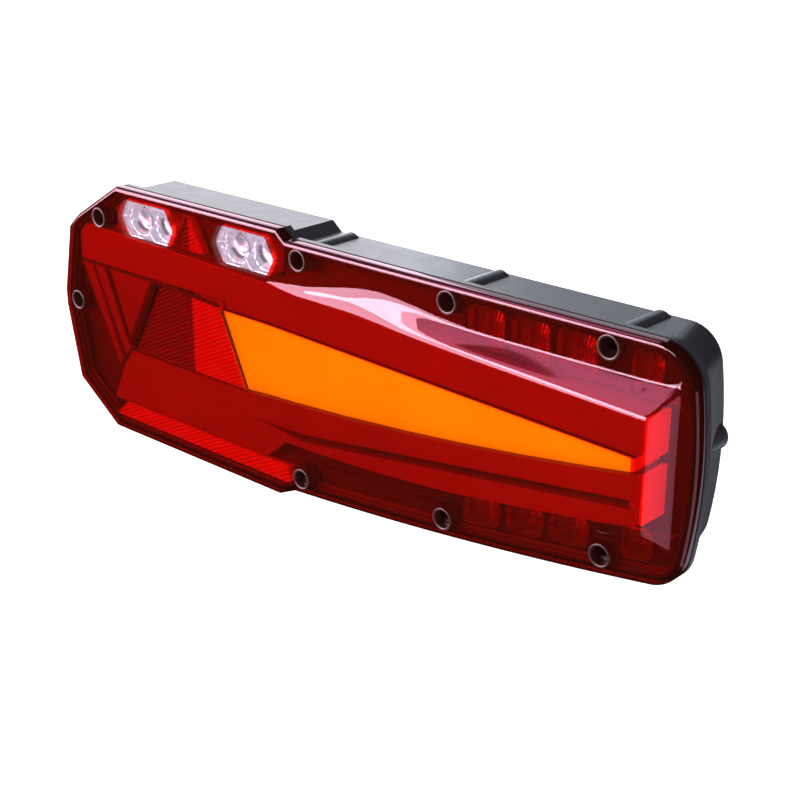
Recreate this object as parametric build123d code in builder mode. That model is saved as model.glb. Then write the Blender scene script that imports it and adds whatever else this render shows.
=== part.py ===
"""Long LED combination tail lamp for a trailer, built as separate pieces.

The lamp lies along X, stands up along Z and shines towards -Y. The origin is midway between
the two fixing studs, on the plane of the mounting pads. Heights are distances in front of
that plane, towards -Y. All sizes are in millimetres.
"""
import os
from math import atan2, degrees, sqrt

from build123d import *

# ---------------------------------------------------------------- overall sizes
lamp_length = 412.0
lamp_height = 140.0
lens_face = 42.0          # flat face of the lens, in front of the mounting plane
wedge_rise = 14.0         # how far the raised wedge stands out at its right end

left = -lamp_length / 2
right = lamp_length / 2
top = lamp_height / 2
bottom = -top

# ---------------------------------------------------------------- outline
step_x = left + 176.0     # where the taller left section ends
step_run = 6.0
step_drop = 5.0
end_bulge = 6.0           # bow of the right end
end_lift = 31.5           # how much higher the bottom edge is at the right end
bottom_bow = 2.8
top_corner_radius = 20.0
bottom_corner_radius = 18.0
left_corner_radius = 3.0
section_top = top - step_drop
section_bottom = bottom + step_drop

# ---------------------------------------------------------------- walls and levels
pad_thickness = 2.0
housing_wall = 2.5
body_inset = 3.5          # housing body, inside its flange
end_draft = 9.0           # lean of the housing's right end over its depth
flange_thickness = 3.0
gasket_thickness = 1.0
lens_skirt = 6.0
lens_wall = 2.5
layer_gap = 0.5           # between the lens and the plates behind it
plate_wall = 2.5
panel_thickness = 2.0
board_thickness = 1.6
board_standoff = 6.5
fit_gap = 0.3             # between pieces that lie side by side
slip_gap = 0.05           # round pieces in their holes
press_gap = 0.02          # contact pins in their socket

housing_back = pad_thickness
housing_floor = housing_back + housing_wall
skirt_back = lens_face - lens_skirt
flange_front = skirt_back - gasket_thickness
flange_back = flange_front - flange_thickness
board_back = housing_floor + board_standoff
board_front = board_back + board_thickness
plate_front = lens_face - lens_wall - layer_gap
panel_front = plate_front - 5.0
panel_back = panel_front - panel_thickness
cavity_inset = body_inset + housing_wall

# ---------------------------------------------------------------- raised wedge of the lens
wedge_left = left + 165.0
wedge_right = right - 9.3          # at the foot of the right slope
wedge_front_right = right - 15.0   # at the top of the right slope
wedge_top_left = top - 28.0
wedge_top_right = section_top - 11.8
wedge_crest = top - 31.0           # upper edge of the front face
wedge_foot_left = bottom + 25.0
wedge_foot_bend = (left + 266.0, bottom + 29.5)
wedge_foot_right = bottom + 47.7
wedge_low_crest = bottom + 58.5    # lower edge of the front face at the right end

# ---------------------------------------------------------------- reversing windows
window_width = 46.0
window_height = 20.5
window_corner = 6.0
window_radius = 2.0
window_z = top - 15.7
window_centres = {"left": left + 76.0, "right": left + 151.0}
bowl_radius = 9.0
bowl_pitch = 20.5
rim = 1.5                 # wall between a window's edge and its reflector

# ---------------------------------------------------------------- reflex triangle
triangle_side = 150.0
triangle_x = left + 107.0
triangle_top = top - 5.0
triangle_base = triangle_top - triangle_side * sqrt(3) / 2
tip_bottom = top - 25.0
centre_top = top - 47.8
centre_bottom = bottom + 49.5
base_top = triangle_base + 10.4

# ---------------------------------------------------------------- light plates
guide_left = left + 15.0
guide_right = right - 20.0
guide_top_left = top - 25.3
guide_top_mid = top - 29.8
guide_top_right = top - 34.0
band_bottom = top - 46.3
amber_top = top - 51.0
amber_left = left + 132.0
amber_foot = (left + 149.0, bottom + 50.5)
amber_right = right - 21.5
amber_tip_bottom = bottom + 83.0
amber_bow = 3.9
seam = 1.0                # gap between neighbouring plates
skirt_wall = 1.5          # side walls of the plates
groove_width = 4.0
end_guide_thickness = 1.8

# ---------------------------------------------------------------- screws and wells
well_radius = 5.0
well_bore = 4.0
well_floor = 3.0
well_back = 28.0
seal_thickness = 1.0
boss_wall = 1.3           # housing wall round each well
screw_radius = 1.95
screw_length = 16.0
screw_head_radius = 3.4
screw_head_height = 2.4
well_places = [
    (left + 36.5, top - 19.5),
    (left + 12.0, bottom + 69.0),
    (left + 190.0, section_top - 8.0),
    (right - 129.0, section_top - 8.0),
    (right - 44.0, section_top - 8.0),
    (left + 189.0, bottom + 13.5),
    (right - 130.0, bottom + 22.5),
    (right - 43.0, bottom + 34.5),
]

# ---------------------------------------------------------------- stop and fog cups
cup_wall = 1.2
cup_corner = 4.0
cup_taper = 3.0           # how far a cup narrows on each side towards the board
cup_front = lens_face - 4.0
cups = [(right - 110.5, 22.0), (right - 86.5, 22.0), (right - 62.5, 22.0), (right - 28.0, 16.0)]
cup_row_left = right - 122.0
stop_cup_height = 18.5
stop_cup_z = section_top - 16.0
fog_cup_height = 13.0
fog_cup_lift = 12.5       # middle of the first fog cup above the lower edge
fog_row_spread = 0.026    # how much steeper the row runs than the lower edge

# ---------------------------------------------------------------- boards and their parts
board_inset = cavity_inset + 2.0
board_split = left + 181.0
board_gap = 6.0
led_size = 3.5
led_height = 1.0
led_clearance = 3.0
post_radius = 2.8
board_screw_radius = 1.4
board_screw_length = 6.0
board_screw_head = 2.6
standoff_radius = 3.2
post_places = [
    (left + 71.0, top - 45.0),
    (left + 76.0, bottom + 38.0),
    (left + 26.0, bottom + 45.0),
    (left + 166.0, top - 45.0),
    (left + 166.0, bottom + 30.0),
    (right - 151.0, top - 50.0),
    (right - 86.0, bottom + 55.0),
    (right - 28.0, bottom + 80.0),
]
left_board_screws = [
    (left + 18.0, top - 50.0),
    (left + 41.0, bottom + 18.0),
    (left + 146.0, bottom + 20.0),
    (left + 108.0, top - 33.0),
]
main_board_screws = [
    (left + 192.0, top - 25.0),
    (right - 146.0, top - 23.0),
    (left + 194.0, bottom + 25.0),
    (right - 151.0, bottom + 30.0),
    (right - 22.0, bottom + 68.0),
    (right - 76.0, top - 42.0),
]
chip_size = (6.0, 5.0, 1.5)
chip_places = [(left + 111.0, 0.0), (left + 216.0, 12.0), (left + 246.0, -8.0), (left + 301.0, -5.0)]
capacitor_radius = 4.0
capacitor_height = 9.0
capacitor_places = [(left + 214.0, 30.0), (left + 146.0, -18.0), (left + 303.0, 21.0)]
link_width = 8.0
link_z = 8.0
link_rise = 3.0
link_thickness = 0.8

# ---------------------------------------------------------------- fixing and connection
stud_spacing = 152.0
stud_radius = 4.0
stud_reach = 30.0
stud_neck = 4.8           # thicker stretch through the housing and the pad
stud_hex = 13.0           # across flats
stud_head = 5.3
pad_radius = 18.0
socket_z = -14.0
socket_radius = 12.0
socket_bore = 10.5
socket_reach = 22.0
socket_floor = 6.0
socket_flange = 16.0
socket_flange_thickness = 2.5
socket_inner_end = 3.5    # how far it stands above the housing's floor
pin_radius = 0.8
pin_circle = 6.0
pin_count = 7
pin_tip = 14.0
vent_place = (left + 86.0, bottom + 30.0)
vent_radius = 6.0
vent_stem = 2.4
end_boss_radius = 6.0
end_boss_z = 17.0
rib_back = 6.0

os.makedirs("parts", exist_ok=True)


def at_height(height):
    """Sketch plane that faces the front, at a distance in front of the mounting plane."""
    return Plane.XZ.offset(height)


def save(piece, name):
    """Label a finished piece and write it to its own file."""
    piece.label = name
    export_step(piece, f"parts/{name}.step")


def outline_corners(draft):
    """Corners of the lamp's outline from the foot of the lower step, left end first."""
    corner_x = right - end_bulge - draft
    return [
        (step_x + 7.0, section_bottom),
        (step_x - 4.0, bottom),
        (left + 39.0, bottom),
        (left + 8.0, bottom + 22.0),
        (left, -6.0),
        (left, 3.0),
        (left + 8.5, top - 28.5),
        (left + 17.0, top - 21.0),
        (left + 52.0, top),
        (step_x, top),
        (step_x + step_run, section_top),
        (corner_x, section_top),
        (corner_x, bottom + end_lift),
    ]


def outline_sketch(inset=0.0, draft=0.0):
    """Outline of the lamp seen from the front, drawn in all round, its right end by draft."""
    corners = [Vector(*corner) for corner in outline_corners(draft)]
    count = len(corners)
    bows = [0.0] * (count - 2) + [end_bulge, bottom_bow]
    chords = [corners[(i + 1) % count] - corners[i] for i in range(count)]
    swings = [2 * atan2(2 * bow, chord.length) for bow, chord in zip(bows, chords)]
    moved = []
    for i, corner in enumerate(corners):
        before = chords[i - 1].normalized().rotate(Axis.Z, -90 - degrees(swings[i - 1]))
        after = chords[i].normalized().rotate(Axis.Z, -90 + degrees(swings[i]))
        moved.append(corner + (before + after) * (inset / (1 + before.dot(after))))
    with BuildSketch(Plane.XY) as sketch:
        with BuildLine():
            Polyline(*moved[: count - 1])
            for i in (count - 2, count - 1):
                outward = chords[i].normalized().rotate(Axis.Z, 90)
                middle = (corners[i] + corners[(i + 1) % count]) * 0.5
                middle = middle + outward * (bows[i] - inset)
                ThreePointArc(moved[i], middle, moved[(i + 1) % count])
        make_face()
        fillet(sketch.vertices().sort_by_distance(moved[-1])[0], bottom_corner_radius - inset)
        fillet(sketch.vertices().sort_by_distance(moved[-2])[0], top_corner_radius - inset)
        if inset < left_corner_radius:
            for corner in moved[2:9]:
                fillet(sketch.vertices().sort_by_distance(corner)[0], left_corner_radius - inset)
    return sketch.sketch


def window_sketch(name, inset=0.0):
    """Six-sided outline of a reversing window with eased corners."""
    half_width = window_width / 2
    half_height = window_height / 2
    with BuildSketch(Plane.XY) as sketch:
        with Locations((window_centres[name], window_z)):
            with BuildLine():
                Polyline(
                    (-half_width, 0),
                    (window_corner - half_width, half_height),
                    (half_width - window_corner, half_height),
                    (half_width, 0),
                    (half_width - window_corner, -half_height),
                    (window_corner - half_width, -half_height),
                    close=True,
                )
            make_face()
        fillet(sketch.vertices(), window_radius)
        if inset:
            offset(amount=-inset, mode=Mode.REPLACE)
    return sketch.sketch.moved(Location((window_centres[name], window_z)))


def front_height(x):
    """Height of the lens's outer face at x, on the flat part or on the wedge."""
    run = wedge_front_right - wedge_left
    return lens_face + wedge_rise * max(0.0, x - wedge_left) / run


def slope_plane(first, second, third, inset):
    """Plane through three (x, z, height) points, facing out of the wedge, moved in by inset."""
    a, b, c = (Vector(x, -height, z) for x, z, height in (first, second, third))
    normal = (b - a).cross(c - a).normalized()
    core = Vector((wedge_left + wedge_right) / 2, -lens_face, (wedge_crest + wedge_low_crest) / 2)
    if normal.dot(core - a) > 0:
        normal = normal * -1
    return Plane(origin=a - normal * inset, z_dir=normal)


def wedge_planes(inset):
    """The five faces of the raised wedge."""
    crest = lens_face + wedge_rise
    top_left = (wedge_left, wedge_top_left, lens_face)
    top_right = (wedge_right, wedge_top_right, lens_face)
    front_top = (wedge_front_right, wedge_crest, crest)
    front_low = (wedge_front_right, wedge_low_crest, crest)
    foot_left = (wedge_left, wedge_foot_left, lens_face)
    foot_bend = (*wedge_foot_bend, lens_face)
    foot_right = (wedge_right, wedge_foot_right, lens_face)
    lean = (wedge_low_crest - wedge_foot_right) / wedge_rise
    bend_rise = front_height(wedge_foot_bend[0]) - lens_face
    bend_top = (wedge_foot_bend[0], wedge_foot_bend[1] + lean * bend_rise, lens_face + bend_rise)
    return [
        slope_plane(top_left, foot_left, front_top, inset),
        slope_plane(top_left, top_right, front_top, inset),
        slope_plane(top_right, foot_right, (wedge_front_right, wedge_top_right, crest), inset),
        slope_plane(foot_left, foot_bend, bend_top, inset),
        slope_plane(foot_bend, foot_right, front_low, inset),
    ]


def wedge_solid(inset, back):
    """The raised wedge, its faces moved in by inset, from a height named back."""
    length = wedge_right - wedge_left
    with BuildPart() as wedge:
        with BuildSketch(at_height(back)):
            with Locations(((wedge_left + wedge_right) / 2, (top + bottom) / 2)):
                Rectangle(length + 10.0, lamp_height)
        extrude(amount=lens_face + wedge_rise - back + 1.0)
        for face in wedge_planes(inset):
            split(bisect_by=face, keep=Keep.BOTTOM)
    return wedge.part


def under_lens(depth):
    """Everything at least depth behind the lens's outer face, down to the carrier panel."""
    with BuildPart() as block:
        with BuildSketch(Plane.XY.offset(bottom)):
            with BuildLine():
                Polyline(
                    (left, -panel_front),
                    (left, depth - lens_face),
                    (wedge_left, depth - lens_face),
                    (right, depth - front_height(right)),
                    (right, -panel_front),
                    close=True,
                )
            make_face()
        extrude(amount=lamp_height)
    return block.part


def lens_interior():
    """Space above the carrier panel that the plates may fill, clear of lens and flange."""
    with BuildPart() as space:
        with BuildSketch(at_height(panel_front)):
            add(outline_sketch(cavity_inset + layer_gap))
        extrude(amount=plate_front - panel_front)
        add(wedge_solid(lens_wall + layer_gap, plate_front))
    return space.part


def diffuser(face):
    """Light plate under the lens with side walls that stand on the carrier panel."""
    reach = lens_face + wedge_rise
    with BuildPart() as hollow:
        with BuildSketch(at_height(panel_front)):
            add(face)
            offset(amount=-skirt_wall, mode=Mode.REPLACE)
        extrude(amount=reach)
        add(plate_underside, mode=Mode.INTERSECT)
    with BuildPart() as body:
        with BuildSketch(at_height(panel_front)):
            add(face)
        extrude(amount=reach)
        add(plate_space, mode=Mode.INTERSECT)
        add(free_space, mode=Mode.INTERSECT)
        add(hollow.part, mode=Mode.SUBTRACT)
    return body.part


def reflex_block(face):
    """Solid reflex prism block standing on the carrier panel."""
    with BuildPart() as block:
        with BuildSketch(at_height(panel_front)):
            add(face)
        extrude(amount=plate_front - panel_front)
        add(free_space, mode=Mode.INTERSECT)
    return block.part


def polygon_sketch(*points):
    """Closed straight-sided face from its corners."""
    with BuildSketch(Plane.XY) as sketch:
        with BuildLine():
            Polyline(*points, close=True)
        make_face()
    return sketch.sketch


def amber_sketch(grow=0.0):
    """Outline of the amber wedge: straight top, bowed bottom, blunt right tip."""
    tip_low = (amber_right, amber_tip_bottom)
    middle = (
        (amber_foot[0] + tip_low[0]) / 2,
        (amber_foot[1] + tip_low[1]) / 2 - amber_bow,
    )
    with BuildSketch(Plane.XY) as sketch:
        with BuildLine():
            Polyline(amber_foot, (amber_left, amber_top), (amber_right, amber_top), tip_low)
            ThreePointArc(tip_low, middle, amber_foot)
        make_face()
        if grow:
            offset(amount=grow, kind=Kind.INTERSECTION, mode=Mode.REPLACE)
    return sketch.sketch


def triangle_sketch():
    """Equilateral outline of the reflex reflector, point up."""
    return polygon_sketch(
        (triangle_x, triangle_top),
        (triangle_x + triangle_side / 2, triangle_base),
        (triangle_x - triangle_side / 2, triangle_base),
    )


def foot_line(x):
    """Height of the lower edge of the raised plates at x, rising towards the right end."""
    run = (x - step_x) / (guide_right - step_x)
    return bottom + 29.5 + (wedge_low_crest + 1.2 - bottom - 29.5) * run


def fog_z(x):
    """Height of the middle of a fog cup at x."""
    first = cups[0][0]
    start = step_x + 7.0
    edge_slope = (bottom + end_lift - section_bottom) / (right - end_bulge - start)
    edge = section_bottom + edge_slope * (first - start)
    return edge + fog_cup_lift + (edge_slope + fog_row_spread) * (x - first)


def stop_z(x):
    """Height of the middle of a stop cup, the same at every x."""
    return stop_cup_z


def row_face(middle, height, side, grow=0.0):
    """Face plate round a row of cups, from the row's inner edge out to the housing wall."""
    reach = side * (height / 2 + seam + grow)
    low = cup_row_left - grow
    with BuildSketch(Plane.XY) as sketch:
        with BuildLine():
            Polyline(
                (low, middle(low) - reach),
                (right, middle(right) - reach),
                (right, side * lamp_height),
                (low, side * lamp_height),
                close=True,
            )
        make_face()
        add(outline_sketch(cavity_inset + layer_gap), mode=Mode.INTERSECT)
        with Locations(*well_places):
            Circle(boss_bore + boss_wall + fit_gap, mode=Mode.SUBTRACT)
    return sketch.sketch


stud_places = [(-stud_spacing / 2, 0), (stud_spacing / 2, 0)]
plate_space = under_lens(lens_face - plate_front)
plate_underside = under_lens(lens_face - plate_front + plate_wall)
free_space = lens_interior()

# ---------------------------------------------------------------- housing
boss_top = well_back - seal_thickness
boss_bore = well_radius + fit_gap
with BuildPart() as housing:
    with BuildSketch(at_height(flange_back)):
        add(outline_sketch())
    extrude(amount=flange_thickness)
    with BuildSketch(at_height(housing_back)):
        add(outline_sketch(body_inset, end_draft))
    with BuildSketch(at_height(flange_back)):
        add(outline_sketch(body_inset))
    loft()
    with BuildSketch(at_height(rib_back)):
        with Locations((right - body_inset - end_draft - 1.0, end_boss_z)):
            Circle(end_boss_radius)
    extrude(amount=flange_back - rib_back)
    with BuildSketch(at_height(housing_floor)):
        add(outline_sketch(cavity_inset, end_draft))
    with BuildSketch(at_height(flange_back)):
        add(outline_sketch(cavity_inset))
    loft(mode=Mode.SUBTRACT)
    with BuildSketch(at_height(flange_back)):
        add(outline_sketch(cavity_inset))
    extrude(amount=flange_thickness, mode=Mode.SUBTRACT)
    with BuildSketch(at_height(housing_floor)):
        with Locations(*well_places):
            Circle(boss_bore + boss_wall)
    extrude(amount=flange_back - housing_floor)
    with BuildSketch(at_height(boss_top)):
        with Locations(*well_places):
            Circle(boss_bore)
    extrude(amount=lens_face, mode=Mode.SUBTRACT)
    with BuildSketch(at_height(housing_floor)):
        with Locations(*post_places):
            Circle(post_radius)
    extrude(amount=panel_back - housing_floor)
    with BuildSketch(at_height(housing_floor)):
        with Locations(*left_board_screws, *main_board_screws):
            Circle(standoff_radius)
    extrude(amount=board_standoff)
    with BuildSketch(at_height(housing_floor)):
        with Locations(*stud_places):
            Circle(stud_hex * 0.8)
            RegularPolygon(stud_hex / 2 + slip_gap, 6, major_radius=False, mode=Mode.SUBTRACT)
    extrude(amount=stud_head - 1.0)
    with BuildSketch(at_height(boss_top)):
        with Locations(*well_places):
            Circle(screw_radius + slip_gap)
    extrude(amount=-screw_length, mode=Mode.SUBTRACT)
    with BuildSketch(at_height(board_back)):
        with Locations(*left_board_screws, *main_board_screws):
            Circle(board_screw_radius + slip_gap)
    extrude(amount=-board_screw_length, mode=Mode.SUBTRACT)
    with BuildSketch(at_height(housing_back)):
        with Locations(*stud_places):
            Circle(stud_neck + slip_gap)
        with Locations((0, socket_z)):
            Circle(socket_radius + slip_gap)
        with Locations(vent_place):
            Circle(vent_stem + slip_gap)
    extrude(amount=housing_wall, mode=Mode.SUBTRACT)
save(housing.part, "housing")

# ---------------------------------------------------------------- lens and its windows
with BuildPart() as lens_shell:
    with BuildSketch(at_height(skirt_back)):
        add(outline_sketch())
    extrude(amount=lens_skirt)
    add(wedge_solid(0.0, lens_face - lens_wall))
    with BuildSketch(at_height(skirt_back)):
        add(outline_sketch(lens_wall))
    extrude(amount=lens_skirt - lens_wall, mode=Mode.SUBTRACT)
    add(wedge_solid(lens_wall, skirt_back), mode=Mode.SUBTRACT)
    with BuildSketch(at_height(well_back)):
        with Locations(*well_places):
            Circle(well_radius)
    extrude(amount=lens_face - well_back - layer_gap)
    with BuildSketch(at_height(well_back)):
        with Locations(*well_places):
            Circle(screw_radius + fit_gap)
    extrude(amount=lens_face, mode=Mode.SUBTRACT)
    with BuildSketch(at_height(well_back + well_floor)):
        with Locations(*well_places):
            Circle(well_bore)
    extrude(amount=lens_face, mode=Mode.SUBTRACT)

with BuildPart() as lens:
    add(lens_shell.part)
    with BuildSketch(at_height(skirt_back)):
        for name in window_centres:
            add(window_sketch(name))
        add(amber_sketch())
    extrude(amount=lens_face, mode=Mode.SUBTRACT)
save(lens.part, "lens")

for name in window_centres:
    with BuildPart() as window:
        with BuildSketch(at_height(lens_face - lens_wall)):
            add(window_sketch(name))
        extrude(amount=lens_wall)
    save(window.part, f"reversing_window_{name}")

with BuildPart() as amber_window:
    with BuildSketch(at_height(skirt_back)):
        add(amber_sketch())
    extrude(amount=lens_face)
    add(lens_shell.part, mode=Mode.INTERSECT)
save(amber_window.part, "indicator_window")

# ---------------------------------------------------------------- seals and lens screws
with BuildPart() as lens_gasket:
    with BuildSketch(at_height(flange_front)):
        add(outline_sketch(fit_gap))
        add(outline_sketch(lens_wall), mode=Mode.SUBTRACT)
        with Locations(*well_places):
            Circle(boss_bore, mode=Mode.SUBTRACT)
    extrude(amount=gasket_thickness)
save(lens_gasket.part, "lens_gasket")

with BuildPart() as screw_seals:
    with BuildSketch(at_height(boss_top)):
        with Locations(*well_places):
            Circle(well_radius)
            Circle(screw_radius + fit_gap, mode=Mode.SUBTRACT)
    extrude(amount=seal_thickness)
save(screw_seals.part, "screw_seals")

with BuildPart() as lens_screws:
    head_seat = well_back + well_floor
    with BuildSketch(at_height(head_seat)):
        with Locations(*well_places):
            Circle(screw_head_radius)
    extrude(amount=screw_head_height)
    fillet(lens_screws.faces().group_by(Axis.Y)[0].edges(), 0.8)
    with BuildSketch(at_height(head_seat)):
        with Locations(*well_places):
            Circle(screw_radius)
    extrude(amount=boss_top - head_seat - screw_length + 1.0)
    with BuildSketch(at_height(head_seat + screw_head_height)):
        with Locations(*well_places):
            RegularPolygon(1.6, 6)
    extrude(amount=-1.4, mode=Mode.SUBTRACT)
save(lens_screws.part, "lens_screws")

# ---------------------------------------------------------------- reversing reflectors
for name, centre in window_centres.items():
    with BuildPart() as reflector:
        with BuildSketch(at_height(board_front)):
            add(window_sketch(name, rim))
        extrude(amount=flange_front - board_front)
        with BuildSketch(at_height(flange_front)):
            add(window_sketch(name))
        extrude(amount=plate_front - flange_front)
        for side in (-1, 1):
            bowl_place = (centre + side * bowl_pitch / 2, window_z)
            with BuildSketch(at_height(plate_front)):
                with Locations(bowl_place):
                    Circle(bowl_radius)
            with BuildSketch(at_height(board_front + 6.0)):
                with Locations(bowl_place):
                    Circle(bowl_radius * 0.75)
            with BuildSketch(at_height(board_front)):
                with Locations(bowl_place):
                    Circle(led_clearance)
            loft(mode=Mode.SUBTRACT)
    save(reflector.part, f"reversing_reflector_{name}")

# ---------------------------------------------------------------- reflex triangle
with BuildSketch(Plane.XY) as tip_face:
    add(triangle_sketch())
    with Locations((triangle_x, tip_bottom - lamp_height / 2)):
        Rectangle(triangle_side, lamp_height, mode=Mode.SUBTRACT)
save(reflex_block(tip_face.sketch), "reflex_tip")

with BuildSketch(Plane.XY) as centre_face:
    add(triangle_sketch())
    with Locations((triangle_x, (centre_top + centre_bottom) / 2)):
        Rectangle(triangle_side, centre_top - centre_bottom, mode=Mode.INTERSECT)
    add(amber_sketch(seam), mode=Mode.SUBTRACT)
    with Locations((amber_foot[0] - seam + triangle_side / 2, 0)):
        Rectangle(triangle_side, lamp_height, mode=Mode.SUBTRACT)
save(reflex_block(centre_face.sketch), "reflex_centre")

with BuildSketch(Plane.XY) as base_face:
    add(triangle_sketch())
    with Locations((triangle_x, (base_top + triangle_base) / 2)):
        Rectangle(triangle_side, base_top - triangle_base, mode=Mode.INTERSECT)
save(reflex_block(base_face.sketch), "reflex_base")

# ---------------------------------------------------------------- light plates
upper_face = polygon_sketch(
    (guide_left, guide_top_left),
    (wedge_left, guide_top_mid),
    (guide_right, guide_top_right),
    (guide_right, amber_top + seam),
    (amber_left + 2.5, amber_top + seam),
    (amber_left + 2.5, band_bottom),
    (guide_left, band_bottom),
)
save(diffuser(upper_face), "upper_light_guide")

bar_top = band_bottom - seam
with BuildSketch(Plane.XY) as lower_outline:
    with BuildLine():
        Polyline(
            (left + 46.0, bottom + 37.0),
            (left + 54.5, centre_bottom - seam),
            (amber_foot[0] - 1.0, centre_bottom - seam),
            (amber_foot[0], amber_foot[1] - seam),
        )
        ThreePointArc(
            (amber_foot[0], amber_foot[1] - seam),
            (
                (amber_foot[0] + amber_right) / 2,
                (amber_foot[1] + amber_tip_bottom) / 2 - amber_bow - seam,
            ),
            (amber_right, amber_tip_bottom - seam),
        )
        Polyline(
            (amber_right, amber_tip_bottom - seam),
            (guide_right, amber_tip_bottom - seam),
            (guide_right, foot_line(guide_right)),
        )
        ThreePointArc(
            (guide_right, foot_line(guide_right)),
            (
                (guide_right + step_x) / 2,
                foot_line((guide_right + step_x) / 2) - 5.0,
            ),
            (step_x, foot_line(step_x)),
        )
        Polyline(
            (step_x, foot_line(step_x)),
            (left + 160.0, base_top + seam),
            (left + 36.0, base_top + seam),
            (left + 46.0, bottom + 37.0),
        )
    make_face()
groove_start = (left + 153.0, bottom + 35.8)
groove_bend = (left + 190.0, bottom + 35.6)
groove_end = (guide_right - 3.0, bottom + 68.5)
with BuildSketch(Plane.XY) as lower_cut:
    add(lower_outline.sketch)
    with BuildLine():
        Polyline(
            groove_start,
            (groove_bend[0], groove_bend[1] + groove_width / 2),
            (groove_end[0], groove_end[1] + groove_width / 2),
            (groove_end[0], groove_end[1] - groove_width / 2),
            (groove_bend[0], groove_bend[1] - groove_width / 2),
            close=True,
        )
    make_face(mode=Mode.SUBTRACT)
save(diffuser(lower_cut.sketch), "lower_light_guide")

save(diffuser(amber_sketch()), "indicator_diffuser")

bar_faces = {
    "slanted_bar_outer": polygon_sketch(
        (guide_left, bar_top),
        (guide_left + 8.5, bar_top),
        (left + 45.0, bottom + 41.0),
        (left + 42.0, bottom + 37.0),
    ),
    "slanted_bar_inner": polygon_sketch(
        (guide_left + 10.5, bar_top),
        (guide_left + 20.0, bar_top),
        (left + 52.5, bottom + 50.0),
        (left + 47.5, bottom + 42.0),
    ),
    "arrow_light_guide": polygon_sketch(
        (left + 39.0, bar_top),
        (left + 74.5, bar_top),
        (left + 54.0, bottom + 54.0),
    ),
}
for name, face in bar_faces.items():
    save(diffuser(face), name)

# ---------------------------------------------------------------- plates under the wedge's right face
end_guide_top = lens_face + wedge_rise - lens_wall - 3.5
end_guide_spans = {
    "upper": (amber_tip_bottom + 4.0, guide_top_right),
    "lower": (foot_line(guide_right), amber_tip_bottom - seam),
}
for name, (low, high) in end_guide_spans.items():
    with BuildPart() as end_guide:
        with BuildSketch(at_height(panel_front)):
            with Locations((guide_right + fit_gap + end_guide_thickness / 2, (low + high) / 2)):
                Rectangle(end_guide_thickness, high - low)
        extrude(amount=end_guide_top - panel_front)
    save(end_guide.part, f"end_light_guide_{name}")


def cup_bank(middle, height, side):
    """Row of open cups standing on the main board, joined by a face plate."""
    with BuildPart() as bank:
        for x, width in cups:
            with BuildSketch(at_height(board_front)):
                with Locations((x, middle(x))):
                    RectangleRounded(width - 2 * cup_taper, height - cup_taper, 1.0)
            with BuildSketch(at_height(cup_front)):
                with Locations((x, middle(x))):
                    RectangleRounded(width, height, cup_corner)
            loft()
        with BuildSketch(at_height(panel_back)):
            add(row_face(middle, height, side))
        extrude(amount=panel_thickness)
        for x, width in cups:
            with BuildSketch(at_height(cup_front)):
                with Locations((x, middle(x))):
                    RectangleRounded(width - 2 * cup_wall, height - 2 * cup_wall, cup_corner - cup_wall)
            with BuildSketch(at_height(board_front)):
                with Locations((x, middle(x))):
                    RectangleRounded(2 * led_clearance, led_size + 1.0, 1.0)
            loft(mode=Mode.SUBTRACT)
    return bank.part


save(cup_bank(stop_z, stop_cup_height, 1), "stop_reflector")
save(cup_bank(fog_z, fog_cup_height, -1), "fog_reflector")

# ---------------------------------------------------------------- carrier panel
slot_height = 8.0
slot_z = (guide_top_mid + band_bottom) / 2
with BuildPart() as carrier_panel:
    with BuildSketch(at_height(panel_back)):
        add(outline_sketch(cavity_inset + layer_gap))
        add(row_face(stop_z, stop_cup_height, 1, fit_gap), mode=Mode.SUBTRACT)
        add(row_face(fog_z, fog_cup_height, -1, fit_gap), mode=Mode.SUBTRACT)
        with Locations(*well_places):
            Circle(boss_bore + boss_wall + fit_gap, mode=Mode.SUBTRACT)
        for centre in window_centres.values():
            with Locations((centre, window_z + window_height / 2)):
                Rectangle(window_width - 2 * rim + 2 * fit_gap, 2 * window_height, mode=Mode.SUBTRACT)
        for low, high in ((guide_left + 8.0, step_x - 8.0), (step_x + 8.0, guide_right - 8.0)):
            with Locations(((low + high) / 2, slot_z)):
                Rectangle(high - low, slot_height, mode=Mode.SUBTRACT)
        add(amber_sketch(-slot_height / 2), mode=Mode.SUBTRACT)
    extrude(amount=panel_thickness)
save(carrier_panel.part, "carrier_panel")

# ---------------------------------------------------------------- circuit boards
tail_led_places = [(33.0 * i - 178.0, top - 39.0) for i in range(11)]
tail_led_places += [(37.5 * i - 150.0, bottom + 32.0 + 3.75 * i) for i in range(9)]
indicator_led_places = [(left + 144.0 + 29.0 * i, 1.7 * i) for i in range(8)]
stop_led_places = [(x, stop_z(x)) for x, width in cups]
fog_led_places = [(x, fog_z(x)) for x, width in cups]
reversing_led_places = [
    (centre + side * bowl_pitch / 2, window_z)
    for centre in window_centres.values()
    for side in (-1, 1)
]
pin_places = [
    (pin_circle * Vector(1, 0).rotate(Axis.Z, 360 / pin_count * i)) + Vector(0, socket_z)
    for i in range(pin_count)
]
pin_places = [(place.X, place.Y) for place in pin_places]

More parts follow.
